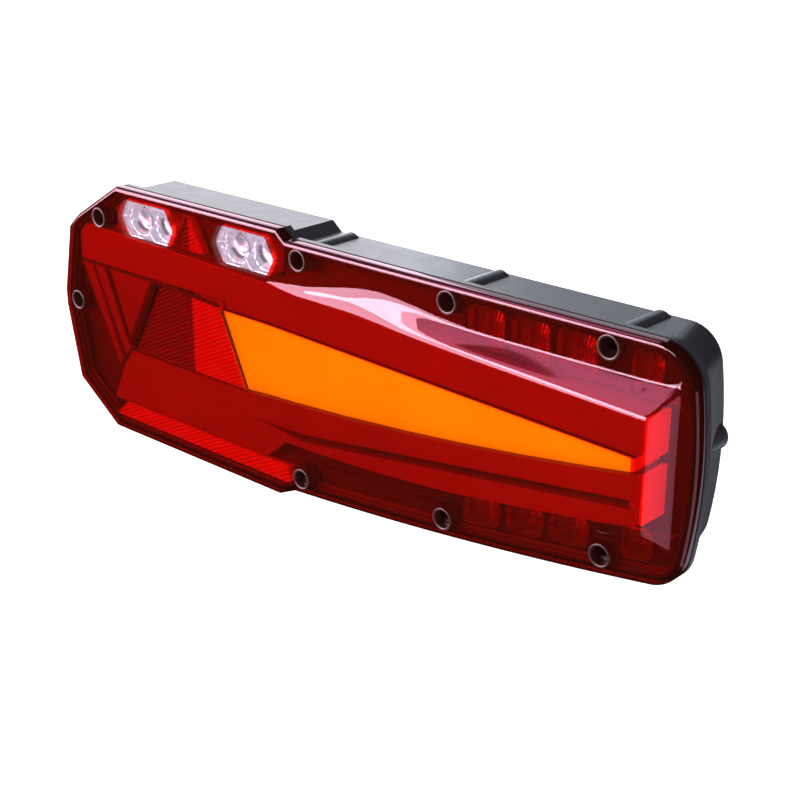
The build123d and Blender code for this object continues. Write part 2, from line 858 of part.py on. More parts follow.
board_spans = {
    "left_circuit_board": (left, board_split - board_gap / 2),
    "main_circuit_board": (board_split + board_gap / 2, right),
}
for name, (low, high) in board_spans.items():
    with BuildPart() as board:
        with BuildSketch(at_height(board_back)):
            add(outline_sketch(board_inset, end_draft))
            with Locations(((low + high) / 2, 0)):
                Rectangle(high - low, lamp_height, mode=Mode.INTERSECT)
            with Locations(*well_places):
                Circle(boss_bore + boss_wall + 2 * fit_gap, mode=Mode.SUBTRACT)
            with Locations(*post_places):
                Circle(post_radius + 2 * fit_gap, mode=Mode.SUBTRACT)
            with Locations(*left_board_screws, *main_board_screws):
                Circle(board_screw_radius + slip_gap, mode=Mode.SUBTRACT)
            with Locations(*pin_places):
                Circle(pin_radius + slip_gap, mode=Mode.SUBTRACT)
        extrude(amount=board_thickness)
    save(board.part, name)

led_rows = {
    "tail_leds": tail_led_places,
    "indicator_leds": indicator_led_places,
    "stop_leds": stop_led_places,
    "fog_leds": fog_led_places,
    "reversing_leds": reversing_led_places,
}
for name, places in led_rows.items():
    with BuildPart() as leds:
        with BuildSketch(at_height(board_front)):
            with Locations(*places):
                Rectangle(led_size, led_size)
        extrude(amount=led_height)
        chamfer(leds.faces().group_by(Axis.Y)[0].edges(), 0.2)
    save(leds.part, name)

with BuildPart() as driver_chips:
    with BuildSketch(at_height(board_front)):
        with Locations(*chip_places):
            Rectangle(chip_size[0], chip_size[1])
    extrude(amount=chip_size[2])
save(driver_chips.part, "driver_chips")

with BuildPart() as capacitors:
    with BuildSketch(at_height(board_front)):
        with Locations(*capacitor_places):
            Circle(capacitor_radius)
    extrude(amount=capacitor_height)
    fillet(capacitors.faces().group_by(Axis.Y)[0].edges(), 0.8)
save(capacitors.part, "capacitors")

with BuildPart() as board_screws:
    with BuildSketch(at_height(board_front)):
        with Locations(*left_board_screws, *main_board_screws):
            Circle(board_screw_head)
    extrude(amount=2.0)
    fillet(board_screws.faces().group_by(Axis.Y)[0].edges(), 0.6)
    with BuildSketch(at_height(board_front)):
        with Locations(*left_board_screws, *main_board_screws):
            Circle(board_screw_radius)
    extrude(amount=1.0 - board_screw_length)
save(board_screws.part, "board_screws")

with BuildPart() as board_link:
    with BuildSketch(Plane.XY.offset(link_z - link_width / 2)):
        with BuildLine():
            FilletPolyline(
                (board_split - 10.0, -board_front - link_thickness / 2),
                (board_split - 6.0, -board_front - link_thickness / 2),
                (board_split - 3.0, -board_front - link_rise),
                (board_split + 3.0, -board_front - link_rise),
                (board_split + 6.0, -board_front - link_thickness / 2),
                (board_split + 10.0, -board_front - link_thickness / 2),
                radius=1.0,
            )
            offset(amount=link_thickness / 2, side=Side.BOTH)
        make_face()
    extrude(amount=link_width)
save(board_link.part, "board_link_cable")

# ---------------------------------------------------------------- connector and vent
seal_back = housing_back - 1.0
with BuildPart() as connector_socket:
    with BuildSketch(at_height(seal_back)):
        with Locations((0, socket_z)):
            Circle(socket_flange)
    extrude(amount=-socket_flange_thickness)
    with BuildSketch(at_height(housing_floor + socket_inner_end)):
        with Locations((0, socket_z)):
            Circle(socket_radius)
    extrude(amount=-(housing_floor + socket_inner_end + socket_reach))
    with BuildSketch(at_height(-socket_reach)):
        with Locations((0, socket_z)):
            Circle(socket_bore)
    extrude(amount=socket_reach - socket_floor, mode=Mode.SUBTRACT)
    with BuildSketch(at_height(1.5 - socket_reach)):
        with Locations((0, socket_z)):
            with PolarLocations(socket_radius, 3):
                Circle(1.3)
    extrude(amount=3.0)
    with BuildSketch(at_height(-socket_reach)):
        with Locations((0, socket_z)):
            Circle(socket_bore)
    extrude(amount=socket_reach - socket_floor, mode=Mode.SUBTRACT)
    with BuildSketch(at_height(-socket_reach)):
        with Locations(*pin_places):
            Circle(pin_radius + press_gap)
    extrude(amount=2 * socket_reach, mode=Mode.SUBTRACT)
save(connector_socket.part, "connector_socket")

with BuildPart() as connector_pins:
    with BuildSketch(at_height(-pin_tip)):
        with Locations(*pin_places):
            Circle(pin_radius)
    extrude(amount=pin_tip + board_front + 0.8)
    chamfer(connector_pins.faces().group_by(Axis.Y)[-1].edges(), 0.4)
save(connector_pins.part, "connector_pins")

with BuildPart() as connector_seal:
    with BuildSketch(at_height(seal_back)):
        with Locations((0, socket_z)):
            Circle(socket_flange - 0.5)
            Circle(socket_radius + fit_gap, mode=Mode.SUBTRACT)
    extrude(amount=housing_back - seal_back)
save(connector_seal.part, "connector_seal")

with BuildPart() as connector_ring_nut:
    with BuildSketch(at_height(housing_floor)):
        with Locations((0, socket_z)):
            RegularPolygon(socket_radius + 4.0, 8)
            Circle(socket_radius + slip_gap, mode=Mode.SUBTRACT)
    extrude(amount=3.0)
save(connector_ring_nut.part, "connector_ring_nut")

with BuildPart() as breather_vent:
    with BuildSketch(at_height(housing_back)):
        with Locations(vent_place):
            Circle(vent_radius)
    extrude(amount=-1.5)
    with BuildSketch(at_height(housing_back)):
        with Locations(vent_place):
            Circle(vent_stem)
    extrude(amount=housing_wall)
save(breather_vent.part, "breather_vent")

# ---------------------------------------------------------------- fixing studs
with BuildPart() as mounting_studs:
    with BuildSketch(at_height(housing_floor)):
        with Locations(*stud_places):
            RegularPolygon(stud_hex / 2, 6, major_radius=False)
    extrude(amount=stud_head)
    with BuildSketch(at_height(housing_floor)):
        with Locations(*stud_places):
            Circle(stud_neck)
    extrude(amount=-housing_floor)
    with BuildSketch(at_height(0)):
        with Locations(*stud_places):
            Circle(stud_radius)
    extrude(amount=-stud_reach)
    chamfer(mounting_studs.faces().group_by(Axis.Y)[-1].edges(), 0.8)
save(mounting_studs.part, "mounting_studs")

with BuildPart() as mounting_pads:
    with BuildSketch(at_height(0)):
        with Locations(*stud_places):
            Circle(pad_radius)
            Circle(stud_neck + fit_gap, mode=Mode.SUBTRACT)
    extrude(amount=pad_thickness)
save(mounting_pads.part, "mounting_pads")
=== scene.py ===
"""Looks of the trailer tail lamp: moulded lens, reflectors, light plates, housing and stage."""
from math import atan2, cos, hypot, pi, radians, sin, sqrt

import bmesh
import bpy
import numpy as np
from mathutils import Euler, Matrix, Vector


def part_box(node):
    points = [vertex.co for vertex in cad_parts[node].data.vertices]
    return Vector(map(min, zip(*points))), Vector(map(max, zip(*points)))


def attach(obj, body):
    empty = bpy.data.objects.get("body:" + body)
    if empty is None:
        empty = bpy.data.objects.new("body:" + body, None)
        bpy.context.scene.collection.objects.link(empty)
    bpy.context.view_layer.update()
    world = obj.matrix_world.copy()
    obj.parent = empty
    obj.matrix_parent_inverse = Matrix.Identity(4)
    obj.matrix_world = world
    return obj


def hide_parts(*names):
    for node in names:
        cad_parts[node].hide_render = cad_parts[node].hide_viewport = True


bl_info = {
    "name": "Trailer tail lamp looks",
    "version": (1, 0, 0),
    "blender": (4, 5, 0),
    "location": "View3D > Sidebar > Lamp",
    "description": "Builds the visible surfaces of a long trailer tail lamp round its CAD frame",
    "category": "Object",
}

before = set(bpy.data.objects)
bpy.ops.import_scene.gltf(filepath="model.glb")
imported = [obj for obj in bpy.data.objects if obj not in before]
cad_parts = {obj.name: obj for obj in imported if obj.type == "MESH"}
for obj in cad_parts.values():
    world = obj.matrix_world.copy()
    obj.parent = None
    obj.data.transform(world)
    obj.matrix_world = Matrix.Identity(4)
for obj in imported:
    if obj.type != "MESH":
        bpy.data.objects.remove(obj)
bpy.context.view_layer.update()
MM = 0.001
WEDGE_RISE = 14.0
lens_low, lens_high = (np.array(corner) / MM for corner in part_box("lens"))
left, right = lens_low[0], lens_high[0]
bottom, top = lens_low[2], lens_high[2]
section_top, section_bottom = top - 5.0, bottom + 5.0
skirt_back = -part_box("lens_gasket")[0][1] / MM
lens_face = -lens_low[1] - WEDGE_RISE


# ---------------------------------------------------------------- settings
class LampShape(bpy.types.PropertyGroup):
    """Sizes of the visible mouldings."""

    rim_radius: bpy.props.FloatProperty(
        name="Rim radius", description="Rounding of the lens rim", default=2.3 * MM,
        unit="LENGTH", subtype="DISTANCE",
    )
    wall: bpy.props.FloatProperty(
        name="Lens wall", description="Thickness of the lens moulding", default=2.0 * MM,
        unit="LENGTH", subtype="DISTANCE",
    )
    crease: bpy.props.FloatProperty(
        name="Crease", description="Height over which the wedge's edges are eased", default=1.6 * MM,
        unit="LENGTH", subtype="DISTANCE",
    )


class LampColours(bpy.types.PropertyGroup):
    """Colours of the mouldings, linear."""

    red: bpy.props.FloatVectorProperty(
        name="Lens red", description="What the red lens lets through", size=3, subtype="COLOR",
        default=(0.92, 0.03, 0.02), min=0.0, max=1.0,
    )
    amber: bpy.props.FloatVectorProperty(
        name="Indicator amber", description="What the indicator window lets through", size=3,
        subtype="COLOR", default=(1.0, 0.75, 0.12), min=0.0, max=1.0,
    )
    plate: bpy.props.FloatVectorProperty(
        name="Light plate red", description="Colour of the satin red light plates", size=3,
        subtype="COLOR", default=(0.42, 0.016, 0.008), min=0.0, max=1.0,
    )
    housing: bpy.props.FloatVectorProperty(
        name="Housing", description="Colour of the housing moulding", size=3, subtype="COLOR",
        default=(0.024, 0.026, 0.034), min=0.0, max=1.0,
    )


# ---------------------------------------------------------------- outline of the lamp
CORNERS = np.array([
    (left + 8.5, top - 28.5), (left + 17.0, top - 21.0), (left + 52.0, top),
    (left + 176.0, top), (left + 182.0, section_top), (right - 6.0, section_top),
    (right - 6.0, bottom + 31.5), (left + 183.0, section_bottom), (left + 172.0, bottom),
    (left + 39.0, bottom), (left + 8.0, bottom + 22.0), (left, -6.0), (left, 3.0),
])
CONCAVE, SHARP_CORNERS = (4, 7), (3, 4, 7, 8)
SHARP_ROUND, CORNER_ROUND, LEAST_ROUND = 1.5, 3.2, 0.05
TOP_RIGHT, LOW_RIGHT = 5, 6
TOP_RIGHT_ROUND, LOW_RIGHT_ROUND = 20.0, 18.0
END_BOW, LOW_BOW = 6.0, 2.8
ROUND_TRIP = 2 * len(CORNERS)


def angle_of(vector):
    """Direction of a vector in the lamp's plane."""
    return atan2(vector[1], vector[0])


def bow_centre(start, end, bow):
    """Centre and radius of the arc from start to end that bows out by bow, clockwise."""
    chord = end - start
    length = hypot(*chord)
    radius = (length**2 / 4 + bow**2) / (2 * bow)
    inward = np.array([chord[1], -chord[0]]) / length
    return (start + end) / 2 + inward * (radius - bow), radius


END_CENTRE, END_RADIUS = bow_centre(CORNERS[TOP_RIGHT], CORNERS[LOW_RIGHT], END_BOW)
LOW_CENTRE, LOW_RADIUS = bow_centre(CORNERS[LOW_RIGHT], CORNERS[LOW_RIGHT + 1], LOW_BOW)


def corner_arcs():
    """Rounding of every corner: centre, radius, sign of the inset's effect, first and last angle, and
    the way along which an inset corner moves once it has no rounding left."""
    arcs = []
    for i, corner in enumerate(CORNERS):
        before, after = corner - CORNERS[i - 1], CORNERS[(i + 1) % len(CORNERS)] - corner
        before, after = before / hypot(*before), after / hypot(*after)
        inward_before, inward_after = (np.array([way[1], -way[0]]) for way in (before, after))
        sign = 1 if i in CONCAVE else -1
        radius = SHARP_ROUND if i in SHARP_CORNERS else CORNER_ROUND
        mitre = (inward_before + inward_after) / (1 + before @ after)
        middle = corner - sign * radius * mitre
        angles = [angle_of(sign * way) for way in (inward_before, inward_after)]
        arcs.append([middle, radius, sign, *angles, mitre])
    # the two right corners run into bowed edges
    drop = section_top - TOP_RIGHT_ROUND - END_CENTRE[1]
    middle = END_CENTRE + np.array([sqrt((END_RADIUS - TOP_RIGHT_ROUND) ** 2 - drop**2), drop])
    arcs[TOP_RIGHT] = [middle, TOP_RIGHT_ROUND, -1, pi / 2, angle_of(middle - END_CENTRE), np.zeros(2)]
    reach_end, reach_low = END_RADIUS - LOW_RIGHT_ROUND, LOW_RADIUS - LOW_RIGHT_ROUND
    span = hypot(*(LOW_CENTRE - END_CENTRE))
    along = (reach_end**2 - reach_low**2 + span**2) / (2 * span)
    across = sqrt(reach_end**2 - along**2)
    down = (LOW_CENTRE - END_CENTRE) / span
    side = np.array([-down[1], down[0]])
    meeting = [END_CENTRE + down * along + side * across * turn for turn in (-1, 1)]
    middle = max(meeting, key=lambda point: point[0])
    angles = [angle_of(middle - centre) for centre in (END_CENTRE, LOW_CENTRE)]
    arcs[LOW_RIGHT] = [middle, LOW_RIGHT_ROUND, -1, *angles, np.zeros(2)]
    for arc in arcs:
        arc[4] = arc[3] + (arc[4] - arc[3] + pi) % (2 * pi) - pi
    return arcs


MIDDLES, RADII, SIGNS, FIRST, LAST, MITRES = (np.array(part) for part in zip(*corner_arcs()))


def on_circle(middle, radius, angle):
    """Points at the given angles of circles with the given middles and radii."""
    return middle + np.asarray(radius)[..., None] * np.stack([np.cos(angle), np.sin(angle)], -1)


def outline(inset, place):
    """Points of the lamp's outline drawn in by inset, clockwise. A place runs over one corner arc
    from 2i to 2i+1 and over the edge after it from 2i+1 to 2i+2."""
    place = np.mod(np.asarray(place, float), ROUND_TRIP)
    step = np.floor(place).astype(int)
    share = (place - step)[:, None]
    middles = MIDDLES + MITRES * (np.maximum(inset + LEAST_ROUND - RADII, 0) * (SIGNS < 0))[:, None]
    radii = np.maximum(RADII + SIGNS * inset, LEAST_ROUND)
    index = step // 2
    after = (index + 1) % len(CORNERS)
    angle = FIRST[index] + (LAST[index] - FIRST[index]) * share[:, 0]
    arc_points = on_circle(middles[index], radii[index], angle)
    starts, ends = on_circle(middles, radii, FIRST), on_circle(middles, radii, LAST)
    edge_points = ends[index] * (1 - share) + starts[after] * share
    points = np.where((step % 2 == 0)[:, None], arc_points, edge_points)
    for corner, centre, radius in (
        (TOP_RIGHT, END_CENTRE, END_RADIUS), (LOW_RIGHT, LOW_CENTRE, LOW_RADIUS),
    ):
        begin, finish = angle_of(ends[corner] - centre), angle_of(starts[corner + 1] - centre)
        bowed = on_circle(centre, radius - inset, begin + (finish - begin) * share[:, 0])
        points = np.where((step == 2 * corner + 1)[:, None], bowed, points)
    return points


def outline_distance(x, z, inset=0.0):
    """Signed distance to the lamp's outline drawn in by inset, positive inside."""
    places = np.linspace(0, ROUND_TRIP, 10 * ROUND_TRIP, endpoint=False)
    return polygon_distance(x, z, outline(inset, places))


def polygon_distance(x, z, corners):
    """Signed distance to a polygon, positive inside."""
    corners = np.asarray(corners, float)
    best = np.full(x.shape, 1e9)
    inside = np.zeros(x.shape, bool)
    for start, end in zip(corners, np.roll(corners, -1, 0)):
        edge = end - start
        along = np.clip(((x - start[0]) * edge[0] + (z - start[1]) * edge[1]) / (edge @ edge), 0, 1)
        best = np.minimum(best, np.hypot(x - start[0] - along * edge[0], z - start[1] - along * edge[1]))
        if edge[1]:
            crosses = (start[1] > z) != (end[1] > z)
            inside ^= crosses & (x < start[0] + edge[0] * (z - start[1]) / edge[1])
    return np.where(inside, best, -best)


# ---------------------------------------------------------------- front surface of the lens
WEDGE_LEFT, WEDGE_FOOT, WEDGE_RIGHT = left + 165.0, right - 9.3, right - 15.0
BEND_X, BEND_Z = left + 266.0, bottom + 29.5
LOW_FOOT_Z, LOW_CREST_Z = bottom + 47.7, bottom + 58.5
UPPER_LEAN, LOW_LEAN, LOW_RIGHT_SHARE = 1.005, WEDGE_RISE / (LOW_CREST_Z - LOW_FOOT_Z), 0.945
SWELL, SWELL_X, SWELL_REACH = 6.5, 32.0, 34.0
PINCH, PINCH_X, PINCH_REACH = 5.0, 60.0, 120.0


def line_through(start, end):
    """Straight line z(x) through two points."""
    return lambda x: start[1] + (end[1] - start[1]) * (x - start[0]) / (end[0] - start[0])


upper_foot = line_through((WEDGE_LEFT, top - 28.0), (WEDGE_FOOT, section_top - 11.8))
low_foot_left = line_through((WEDGE_LEFT, bottom + 25.0), (BEND_X, BEND_Z))
low_foot_right = line_through((BEND_X, BEND_Z), (WEDGE_FOOT, LOW_FOOT_Z))


def low_foot(x):
    """Lower edge of the wedge on the flat face."""
    return np.where(x < BEND_X, low_foot_left(x), low_foot_right(x))


def swell(x):
    """How much higher the upper slope begins near its left end, where it is wider and flatter."""
    return SWELL * np.exp(-(((x - SWELL_X) / SWELL_REACH) ** 2))


def pinch(x):
    """How much lower the upper slope begins towards its right end, where it is narrower and steeper."""
    return PINCH * np.clip((x - PINCH_X) / PINCH_REACH, 0, 1)


def ramp(x):
    """Rise of the wedge's tilted front face over the flat face."""
    return WEDGE_RISE * (x - WEDGE_LEFT) / (WEDGE_RIGHT - WEDGE_LEFT)


def soft_min(first, second, ease):
    """Lesser of two heights, rounded off where they are within ease of each other."""
    return np.minimum(first, second) - np.maximum(ease - np.abs(first - second), 0) ** 2 / (4 * ease)


def lens_height(x, z, ease):
    """Height of the lens's outer face: the flat face, and on it the least of the wedge's tilted
    front, its upper slope, its lower slope and its right slope, with eased edges."""
    front = ramp(x)
    spread = swell(x) - pinch(x)
    lift = np.maximum(front, 0.01)
    upper = (upper_foot(x) + spread - z) * UPPER_LEAN * lift / (lift + spread * UPPER_LEAN)
    lower = LOW_LEAN * np.where(x < BEND_X, z - low_foot_left(x), (z - low_foot_right(x)) * LOW_RIGHT_SHARE)
    end = (WEDGE_FOOT - x) * WEDGE_RISE / (WEDGE_FOOT - WEDGE_RIGHT)
    rise = soft_min(soft_min(front, upper, ease), soft_min(lower, end, ease), ease)
    return lens_face - soft_min(-rise, np.zeros_like(rise), ease * 0.7)


def crest_line(x):
    """Upper edge of the wedge's front face."""
    return upper_foot(x) - np.maximum(ramp(x), 0) / UPPER_LEAN


def low_crest_line(x):
    """Lower edge of the wedge's front face."""
    return low_foot(x) + np.maximum(ramp(x), 0) / LOW_LEAN


# ---------------------------------------------------------------- mesh helpers
def xhz(x, height, z):
    """Vertices in mm as (x, height, z), where height is the distance in front of the mounting plane."""
    return np.stack(np.broadcast_arrays(x, height, z), -1).astype(float)


def outline_ring(inset, height, places):
    """Vertices on the inset outline at a height."""
    flat = outline(inset, places)
    return xhz(flat[:, 0], height, flat[:, 1])


def grid_faces(rows, columns, start=0, wrap=False):
    """Quads between the rows and columns of a grid of vertices numbered row by row."""
    row, column = np.meshgrid(np.arange(rows - 1), np.arange(columns if wrap else columns - 1), indexing="ij")
    here = start + row * columns + column
    beside = start + row * columns + (column + 1) % columns
    return np.stack([here, beside, beside + columns, here + columns], -1).reshape(-1, 4)


def looking_front(vertices, faces, first=None):
    """The faces, all turned over if the first ones look away from the front."""
    corner = np.asarray(vertices).reshape(-1, 3)[faces[:first, :3]]
    normal = np.cross(corner[:, 1] - corner[:, 0], corner[:, 2] - corner[:, 0]).sum(0)
    # height runs against y, so the sign of a cross product is turned
    return faces if normal[1] < 0 else faces[:, ::-1]


def join_grids(*grids):
    """One set of vertices and faces from several (vertices, faces)."""
    vertices, faces, start = [], [], 0
    for points, quads in grids:
        points = np.asarray(points, float).reshape(-1, 3)
        vertices.append(points)
        faces.append(quads + start)
        start += len(points)
    return np.vstack(vertices), np.vstack(faces)


def turned_ring(profile, places, steps):
    """Faces of revolution about the height axis at several places: the closed profile of (radius,
    height) points is turned once round each place."""
    angle = np.arange(steps) * 2 * pi / steps
    closed = np.array([*profile, profile[0]], float)
    faces = grid_faces(len(closed), steps, wrap=True)
    radius, height = closed[:, :1], closed[:, 1:]
    return join_grids(*[
        (xhz(radius * np.cos(angle) + x, height, radius * np.sin(angle) + z), faces) for x, z in places
    ])


def walled(sheet, levels):
    """A grid of vertices that looks to the front, with a wall round its border that joins rings of the
    border, at heights that levels works out from the border's own."""
    border = np.vstack([sheet[0], sheet[1:-1, -1], sheet[-1, ::-1], sheet[-2:0:-1, 0]])
    rings = np.array([xhz(border[:, 0], height, border[:, 2]) for height in levels(border[:, 1])])
    return join_grids(
        (sheet, looking_front(sheet, grid_faces(*sheet.shape[:2]))),
        (rings, grid_faces(len(rings), len(border), wrap=True)),
    )


def mark(piece, name, values, rest=0.0):
    """Stores one number per vertex under a name that materials read, and rest for further vertices."""
    padded = np.full(len(piece.data.vertices), rest, np.float32)
    padded[: np.size(values)] = np.ravel(values)
    piece.data.attributes.new(name, "FLOAT", "POINT").data.foreach_set("value", padded)


def merge(piece, distance=0.01, outward=True):
    """Merges doubled vertices and turns every face outward."""
    work = bmesh.new()
    work.from_mesh(piece.data)
    bmesh.ops.remove_doubles(work, verts=work.verts, dist=distance * MM)
    if outward:
        bmesh.ops.recalc_face_normals(work, faces=work.faces)
    work.to_mesh(piece.data)
    work.free()


def placed(name, mesh, replaces=()):
    """Object for a mesh, riding on the lamp."""
    piece = bpy.data.objects.new(name, mesh)
    bpy.context.scene.collection.objects.link(piece)
    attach(piece, "root")
    if replaces:
        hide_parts(*replaces)
    return piece


def new_piece(name, grid, material, replaces=(), sharp=None, marks=(), merging=True):
    """Piece made of a grid's vertices and faces, with edges sharper than an angle kept sharp. Each mark
    is a name, values per vertex and the value of the vertices that are left."""
    vertices, faces = grid
    mesh = bpy.data.meshes.new(name)
    mesh.from_pydata((vertices * (MM, -MM, MM)).tolist(), [], faces.tolist())
    mesh.validate()
    mesh.shade_smooth()
    if sharp:
        mesh.set_sharp_from_angle(angle=radians(sharp))
    mesh.materials.append(bpy.data.materials[material])
    piece = placed(name, mesh, replaces)
    for values in marks:
        mark(piece, *values)
    if merging:
        merge(piece)
    return piece


def rounded_copy(name, node, material, width):
    """Copy of a CAD node with flat faces joined and its edges rounded by a bevel."""
    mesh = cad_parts[node].data.copy()
    mesh.materials.clear()
    mesh.materials.append(bpy.data.materials[material])
    mesh.name = name
    work = bmesh.new()
    work.from_mesh(mesh)
    bmesh.ops.remove_doubles(work, verts=work.verts, dist=0.005 * MM)
    bmesh.ops.dissolve_limit(work, angle_limit=radians(0.8), verts=work.verts, edges=work.edges)
    work.to_mesh(mesh)
    work.free()
    mesh.shade_smooth()
    mesh.set_sharp_from_angle(angle=radians(32))
    bevel = placed(name, mesh, (node,)).modifiers.new("edges", "BEVEL")
    bevel.width, bevel.segments = width * MM, 2
    bevel.limit_method, bevel.angle_limit = "ANGLE", radians(38)
    bevel.harden_normals, bevel.use_clamp_overlap = True, True


# ---------------------------------------------------------------- material helpers
class Nodes:
    """Short way to add and link shader nodes in one material."""

    def __init__(self, name):
        self.material = bpy.data.materials.new(name)
        self.material.use_nodes = True
        self.tree = self.material.node_tree
        self.tree.nodes.clear()
        self.out = self.tree.nodes.new("ShaderNodeOutputMaterial")

    def add(self, kind, inputs=None, **settings):
        """A node with its settings, and each input set to a value or linked to an output."""
        node = self.tree.nodes.new(kind)
        for key, value in settings.items():
            setattr(node, key, value)
        for key, value in (inputs or {}).items():
            self.feed(node.inputs[key], value)
        return node

    def feed(self, socket, value):
        """Sets a socket, or links it where value is an output."""
        if isinstance(value, bpy.types.NodeSocket):
            self.tree.links.new(value, socket)
            return
        default = socket.default_value
        socket.default_value = (*value, 1.0) if hasattr(default, "__len__") and len(default) == 4 else value

    def math(self, kind, first, second):
        """Result of a math node."""
        return self.add("ShaderNodeMath", {0: first, 1: second}, operation=kind).outputs[0]

    def mix(self, share, first, second):
        """Colour between two colours."""
        return self.add("ShaderNodeMix", {0: share, 6: first, 7: second}, data_type="RGBA").outputs[2]

    def range(self, value, low, high, first=0.0, second=1.0):
        """Value taken from low..high to first..second, held at the ends."""
        inputs = {"Value": value, "From Min": low, "From Max": high, "To Min": first, "To Max": second}
        return self.add("ShaderNodeMapRange", inputs).outputs[0]

    def place(self):
        """Object coordinates."""
        return self.add("ShaderNodeTexCoord").outputs["Object"]

    def axes(self):
        """Object coordinates one by one."""
        return self.add("ShaderNodeSeparateXYZ", {0: self.place()}).outputs

    def marked(self, name):
        """Number stored per vertex."""
        return self.add("ShaderNodeAttribute", attribute_name=name).outputs["Fac"]

    def noise(self, scale, detail=3.0):
        """Noise value on object coordinates."""
        inputs = {"Vector": self.place(), "Scale": scale, "Detail": detail}
        return self.add("ShaderNodeTexNoise", inputs).outputs[0]

    def bump(self, height, strength, distance=0.0002):
        """Normal from a height."""
        inputs = {"Height": height, "Strength": strength, "Distance": distance}
        return self.add("ShaderNodeBump", inputs).outputs[0]

    def finish(self, shader):
        """Ends the material with a shader node."""
        self.tree.links.new(shader.outputs[0], self.out.inputs[0])
        return self.material

    def principled(self, colour, roughness, normal=None, glow=None, metallic=0.0):
        """Ends the material with a principled shader, lit by itself in its own colour where glow is given."""
        inputs = {"Base Color": colour, "Roughness": roughness, "Metallic": metallic}
        if normal is not None:
            inputs["Normal"] = normal
        if glow is not None:
            inputs.update({"Emission Color": colour, "Emission Strength": glow})
        return self.finish(self.add("ShaderNodeBsdfPrincipled", inputs))


def times(colour, factor):
    """Colour made brighter or darker, held at one."""
    return tuple(min(value * factor, 1.0) for value in colour)


def moulded_plastic(name, colour, roughness, grain=0.25, varied=0.12):
    """Moulded plastic with fine grain and a little mottling."""
    n = Nodes(name)
    cloud = n.range(n.noise(35.0, 4.0), 0.35, 0.65)
    tint = n.mix(cloud, times(colour, 1 - varied), times(colour, 1 + varied))
    shine = n.range(n.noise(140.0, 2.0), 0.3, 0.7, roughness * 0.94, roughness * 1.06)
    return n.principled(tint, shine, n.bump(n.noise(900.0, 2.0), grain))


def metal(name, colour, roughness):
    """Plated metal with faint wear."""
    n = Nodes(name)
    wear = n.noise(220.0, 5.0)
    tint = n.mix(n.range(wear, 0.4, 0.7), colour, times(colour, 0.8))
    shine = n.range(wear, 0.3, 0.7, roughness * 0.7, roughness * 1.4)
    return n.principled(tint, shine, n.bump(n.noise(600.0, 2.0), 0.15, 0.0001), metallic=1.0)


def satin_light(name, colour, glow):
    """Satin translucent moulding that carries light: soft mottling and a little painted glow in its own
    colour.
    """
    n = Nodes(name)
    tint = n.mix(n.range(n.noise(18.0, 2.0), 0.3, 0.7), times(colour, 0.8), colour)
    shine = n.range(n.noise(300.0), 0.3, 0.7, 0.28, 0.4)
    # painted glow: the moulding is lit by itself where glow is given
    return n.principled(tint, shine, n.bump(n.noise(1500.0, 2.0), 0.15, 0.0001), glow)


def satin_metal(name, colour, glow):
    """Vapour-plated plastic: part metal, part bright satin, with a painted glow in its own colour and painted
    shade where the shade mark is high.
    """
    n = Nodes(name)
    haze = n.noise(90.0, 4.0)
    tint = n.mix(n.range(haze, 0.35, 0.7), colour, times(colour, 0.78))
    # painted shade: grooves, walls and arcs darkened nearly to black by the shade mark
    tint = n.mix(n.marked("shade"), tint, times(colour, 0.06))
    shine = n.range(haze, 0.3, 0.7, 0.14, 0.26)
    return n.principled(tint, shine, n.bump(n.noise(700.0, 2.0), 0.08, 0.0001), glow, metallic=0.5)


def carrier_material():
    """Dark moulding with painted red light and a painted glow round the reversing windows, where their light
    spills onto it.
    """
    n = Nodes("carrier_moulding")
    across, _, upward = n.axes()
    # painted light: red colour and glow that fade in towards the reversing windows
    near = n.math("MULTIPLY", n.range(across, -0.105, -0.09, 1.0, 0.0), n.range(upward, 0.022, 0.034))
    cloud = n.range(n.noise(30.0, 2.0), 0.3, 0.7, 0.7, 1.0)
    tint = n.mix(n.math("MULTIPLY", near, cloud), (0.02, 0.003, 0.003), (0.42, 0.012, 0.008))
    return n.principled(tint, n.range(cloud, 0.7, 1.0, 0.45, 0.55), glow=n.range(near, 0.0, 1.0, 0.0, 0.12))


def reflex_material():
    """Red prism moulding with painted light: a bright, glowing half where the prisms send light back and a
    dim half, painted as lit and unlit copies of one red, and painted shade in the grooves between the prisms.
    """
    n = Nodes("reflex_prism_red")
    across, _, upward = n.axes()
    # painted light: the right half and the lower strip are painted bright and glow, the left half is painted
    # dim
    low_strip = n.range(upward, -0.05, -0.048, 1.0, 0.0)
    bright = n.math("MAXIMUM", n.range(across, -0.0995, -0.0985), low_strip)
    cloud = n.range(n.noise(25.0, 2.0), 0.3, 0.7, 0.85, 1.0)
    tint = n.mix(bright, (0.2, 0.006, 0.003), (1.0, 0.025, 0.01))
    # painted shade: the low parts of the prisms are darkened nearly to black
    raised = n.math("MULTIPLY", cloud, n.range(n.marked("prism_rise"), 0.1, 0.8, 0.3, 1.0))
    tint = n.mix(raised, (0.05, 0.001, 0.001), tint)
    shine = n.range(n.noise(300.0), 0.3, 0.7, 0.12, 0.2)
    return n.principled(tint, shine, glow=n.range(bright, 0.0, 1.0, 0.02, 0.4))


